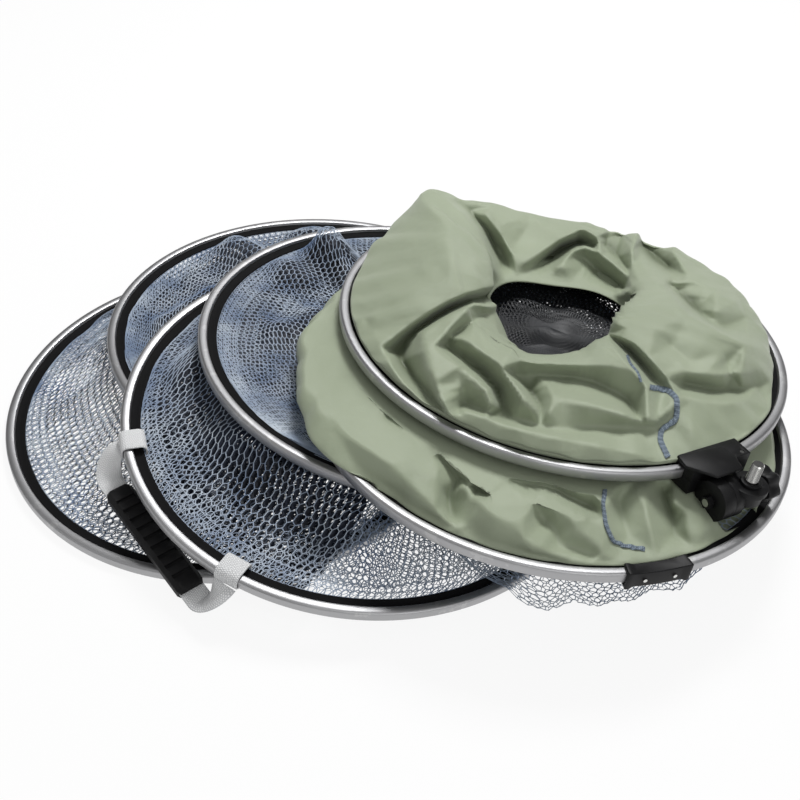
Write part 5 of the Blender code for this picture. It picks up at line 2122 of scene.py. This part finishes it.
# Ridges and valleys of the bunch, as (across, down, height in millimetres).
BUNCH_LINES = (
    # Left flap: roll along its lower edge, drop under it, right edge and the drop beside it.
    ((360, 323, 1), (375, 311, 5), (395, 299, 9), (420, 289, 11), (448, 279, 12), (483, 275, 12),
     (497, 280, 12)),
    ((500, 289, 10), (486, 289, 11), (466, 294, 11), (446, 303, 10), (430, 312, 9), (413, 323, 7),
     (396, 336, 4)),
    ((503, 297, -7), (487, 296, -10), (469, 301, -12), (450, 309, -13), (435, 318, -13), (418, 330, -13),
     (401, 343, -10), (391, 351, -8)),
    ((424, 191, 0), (441, 196, 3), (450, 203, 6), (463, 213, 10), (478, 230, 12), (486, 246, 13),
     (494, 268, 14), (499, 283, 13)),
    ((457, 202, -2), (470, 211, -8), (485, 228, -11), (493, 246, -12), (500, 262, -9), (506, 280, -6)),
    # Left strip beside the hoop and the valley to its right.
    ((366, 320, 1), (376, 335, 3), (385, 352, 4), (393, 368, 4), (404, 383, 3), (418, 397, 2),
     (434, 411, 1)),
    ((396, 352, -11), (405, 365, -12), (414, 378, -11), (426, 391, -8), (441, 408, -5)),
    # First fold.
    ((420, 333, 7), (423, 343, 10), (430, 371, 12), (440, 399, 10), (453, 418, 5)),
    ((420, 333, 7), (436, 322, 6), (452, 313, 7), (473, 303, 9), (489, 307, 9), (503, 305, 7),
     (509, 313, 4)),
    ((473, 303, 9), (456, 322, 9), (445, 334, 10), (437, 345, 11), (456, 362, 13), (473, 377, 14),
     (486, 389, 14), (491, 402, 11), (489, 414, 6)),
    ((462, 386, 4), (463, 397, -3), (460, 408, -5)),
    ((482, 313, 0), (464, 327, -4), (450, 339, -6), (444, 347, -8)),
    # Second fold and the broad valley to its right.
    ((447, 350, -9), (464, 359, -11), (481, 372, -12), (497, 389, -12), (502, 404, -9), (500, 414, -5)),
    ((450, 337, 3), (463, 339, 7), (478, 349, 12), (499, 364, 14), (514, 384, 14), (525, 398, 13),
     (536, 410, 9)),
    ((513, 374, -6), (522, 383, -9), (532, 395, -11), (540, 409, -8)),
    ((549, 386, 2), (553, 399, 6), (548, 412, 5)),
    # Front edge of the mouth, the plane below it and its valley.
    ((487, 350, 8), (506, 350, 10), (539, 348, 10), (566, 346, 11), (588, 345, 11), (611, 346, 12)),
    ((522, 361, 7), (545, 363, 8), (580, 365, 8), (612, 366, 8)),
    ((526, 374, -5), (548, 376, -7), (575, 377, -7), (593, 382, -8), (612, 391, -8), (626, 400, -9),
     (637, 416, -6)),
    ((562, 400, 6), (590, 405, 9), (615, 412, 8), (640, 420, 7), (656, 423, 4)),
    ((562, 429, -4), (590, 428, -4), (612, 428, -4), (656, 426, -3)),
    ((456, 420, 3), (463, 410, 5), (489, 418, 7), (506, 425, 7), (531, 431, 7), (556, 437, 6),
     (601, 446, 5), (645, 456, 2)),
    ((466, 404, -7), (484, 411, -3), (497, 416, -7), (512, 419, -5), (540, 427, -4)),
    # Right lobe.
    ((601, 324, 8), (605, 314, 11), (615, 303, 13), (626, 291, 14), (640, 282, 14), (653, 280, 14),
     (665, 285, 14)),
    ((637, 312, 13), (655, 330, 11), (628, 328, 9)), ((672, 346, 2), (690, 362, 2)),
    ((665, 285, 14), (676, 299, 14), (688, 314, 13), (704, 323, 11), (722, 333, 9), (745, 345, 8),
     (765, 348, 4)),
    ((671, 286, -5), (681, 295, -11), (691, 304, -13), (702, 314, -10), (714, 323, -3)),
    ((676, 283, 3), (693, 281, 7), (710, 287, 7), (727, 296, 4)),
    ((756, 313, 0), (742, 320, -6), (725, 328, -7)), ((735, 303, 4), (716, 311, 5)),
    ((607, 334, -2), (616, 341, -8), (628, 350, -11), (641, 364, -11), (653, 379, -8), (664, 388, -3)),
    ((613, 346, 12), (622, 357, 11), (634, 371, 9), (646, 385, 7)),
    ((620, 337, 6), (636, 345, 8), (652, 361, 8), (668, 379, 6)),
    ((684, 383, -8), (710, 389, -9), (737, 391, -8), (758, 385, -4), (776, 379, 0)),
    ((686, 373, 5), (715, 375, 6), (745, 373, 5), (770, 364, 2)),
    ((678, 396, 5), (720, 403, 5), (745, 400, 3)),
    ((724, 352, 3), (727, 362, -3), (733, 376, -3)),
    # Tents on the mouth's far side.
    ((486, 214, 5), (500, 233, 6), (513, 256, 5), (515, 271, 2)),
    ((478, 216, -3), (490, 232, -5), (503, 254, -8), (509, 268, -8)),
    ((516, 271, 4), (535, 257, 8), (559, 241, 11), (574, 233, 11)),
    ((527, 272, -4), (545, 260, -12), (561, 249, -15), (577, 243, -14), (592, 247, -6)),
    ((530, 224, 0), (560, 231, 7), (585, 229, 9), (597, 237, 9), (602, 248, 7)),
    ((542, 278, 2), (556, 268, 8), (572, 251, 11), (585, 246, 12), (597, 251, 12), (612, 262, 10),
     (629, 277, 6)),
    ((583, 257, 0), (596, 270, -8), (609, 280, -11), (623, 288, -9)),
    ((560, 283, 4), (590, 288, 4), (610, 296, 3)),
    ((605, 246, -9), (616, 256, -9), (628, 268, -6)), ((606, 238, -6), (622, 235, -5)),
    ((631, 266, 6), (632, 250, 11), (637, 239, 12), (648, 232, 10)),
    ((643, 245, -9), (655, 256, -13), (668, 266, -12), (678, 273, -6)),
    ((662, 238, 8), (671, 247, 9), (680, 262, 8), (687, 275, 5)),
    ((637, 260, 4), (650, 269, 5), (668, 277, 4)),
    ((610, 229, 2), (625, 233, 3)), ((700, 262, 2), (712, 276, 3)),
)

# Ridges and valleys of the skirt between hoops 5 and 6.
SKIRT_LINES = (
    ((318, 300, 3), (312, 330, 5), (318, 365, 6), (340, 400, 7), (365, 430, 8), (395, 470, 8),
     (430, 505, 6), (460, 532, 3)),
    ((340, 300, -3), (338, 335, -5), (352, 372, -6), (372, 400, -6)),
    ((362, 375, 2), (372, 390, 4), (390, 408, 5), (411, 425, 6), (427, 436, 7), (437, 443, 8),
     (457, 460, 8), (476, 476, 8), (493, 491, 7)),
    ((379, 407, -5), (388, 416, -7), (399, 427, -4)),
    ((394, 437, 4), (408, 440, 3), (421, 450, 5), (436, 470, 4), (440, 495, 2)),
    ((440, 456, -4), (450, 466, -6), (460, 479, -7), (473, 487, -8), (487, 494, -8)),
    ((448, 497, -8), (450, 513, -8), (453, 526, -4)), ((473, 503, 3), (470, 518, 2), (463, 530, 0)),
    ((464, 485, 4), (474, 482, 3), (470, 495, 2)),
    ((475, 500, 6), (496, 499, 8), (518, 491, 9), (540, 494, 9), (556, 499, 9), (573, 508, 8),
     (590, 517, 5)),
    ((512, 481, -6), (528, 486, -8), (545, 486, -8), (557, 490, -9), (567, 497, -9), (588, 507, -8),
     (598, 512, -4)),
    ((505, 468, 4), (530, 474, 5), (548, 478, 5)), ((562, 482, 4), (585, 488, 5), (605, 490, 6)),
    ((538, 512, -4), (545, 520, -6), (553, 527, -4)),
    ((526, 518, 5), (520, 532, 6), (530, 547, 6), (556, 557, 5), (585, 564, 3)),
    ((560, 545, -3), (590, 556, -4)), ((575, 530, 4), (592, 540, 4), (606, 556, 3)),
    ((614, 483, 7), (606, 497, 7), (603, 512, 6), (608, 530, 5)),
    ((618, 500, -4), (622, 518, -4), (628, 535, -3)),
    ((640, 485, 5), (645, 503, 6), (650, 525, 5)), ((663, 489, -7), (670, 510, -8), (674, 530, -5)),
    ((674, 505, 5), (692, 513, 6), (715, 520, 4)), ((686, 528, 3), (700, 535, 3)),
)

# Where a ring of the sleeve is pulled, by azimuth.
PULLS = (
    Pull("ridge", 131.0, 1.0, 13.0, 0.16, 0.02),
    Pull("shoulder", 131.0, 3.0, 16.0, 0.05, 0.12),
    Pull("shoulder", 150.0, 6.0, 14.0, 0.04, 0.10),
)

# The far outline of the cloth, in 800ths of the frame.
BACK_OUTLINE = ((380, 245), (400, 214), (424, 184), (456, 196), (492, 208), (530, 213), (567, 217),
                (601, 219), (650, 222), (684, 232), (706, 250), (724, 273), (740, 298), (760, 306),
                (768, 326), (780, 352))

# Overlock seams: on which part of the sleeve, width in metres, and places along the middle.
SEAMS = (
    ("bunch", 0.0026, ((628, 354), (631, 364), (638, 371), (641, 382))),
    ("bunch", 0.0052, ((650, 387), (668, 390), (677, 398), (677, 411), (676, 420), (661, 430), (660, 440),
                       (668, 457))),
    ("skirt", 0.0040, ((605, 490), (603, 505), (606, 525), (613, 541), (625, 546), (645, 549))),
)

# Folds that stand up in each net wall.
SWELLS = {
    1: (Swell((-0.27, 0.05), (-0.21, 0.12), 0.007, 0.016),
        Swell((-0.24, -0.12), (-0.20, -0.15), 0.006, 0.018)),
    2: (Swell((-0.165, 0.190), (-0.135, 0.165), 0.024, 0.020),
        Swell((-0.215, 0.055), (-0.165, 0.110), 0.010, 0.013),
        Swell((-0.10, 0.235), (-0.06, 0.215), 0.016, 0.018)),
    3: (Swell((-0.135, -0.120), (-0.060, -0.165), 0.010, 0.014),
        Swell((-0.125, -0.060), (-0.080, -0.095), 0.008, 0.014),
        Swell((-0.02, -0.20), (0.05, -0.20), 0.008, 0.020),
        Swell((-0.175, -0.050), (-0.150, 0.010), 0.007, 0.015)),
    4: (Swell((-0.086, 0.168), (-0.066, 0.130), 0.026, 0.019),
        Swell((-0.120, 0.110), (-0.085, 0.085), 0.010, 0.016),
        Swell((-0.060, 0.125), (-0.030, 0.060), 0.012, 0.016),
        Swell((-0.105, -0.015), (-0.070, 0.030), 0.008, 0.014),
        Swell((-0.050, -0.060), (-0.065, 0.010), 0.009, 0.012)),
}

# The net walls between the hoops: layers with painted shade under each, and the shape of their cells.
WALLS = {
    1: {"deep_layers": 2, "deep_span": (95, 262), "deep_yarn": 0.0009, "tall": 1.1},
    2: {"deep_layers": 3, "deep_span": (60, 236), "tall": 0.9},
    3: {"deep_layers": 4, "deep_span": (80, 258), "tall": 1.25},
    4: {"deep_layers": 4, "deep_span": (60, 250), "tall": 0.8, "slack": True},
}


def main() -> None:
    """Build every piece in order."""
    logging.basicConfig(level=logging.INFO)
    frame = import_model()
    wardrobe, eye = Wardrobe(), Eye()
    HoopSet(wardrobe).build()
    BaseNet(wardrobe).build()
    for number, plan in WALLS.items():
        NetWall(number, wardrobe, SWELLS[number], **plan).build()
    sleeve = Sleeve(wardrobe, eye)
    sleeve.build()
    MouthNet(wardrobe, sleeve).build()
    CarryHandle(wardrobe).build()
    Dressed(wardrobe, frame).build()
    Studio(eye).build()


if __name__ == "__main__":
    main()
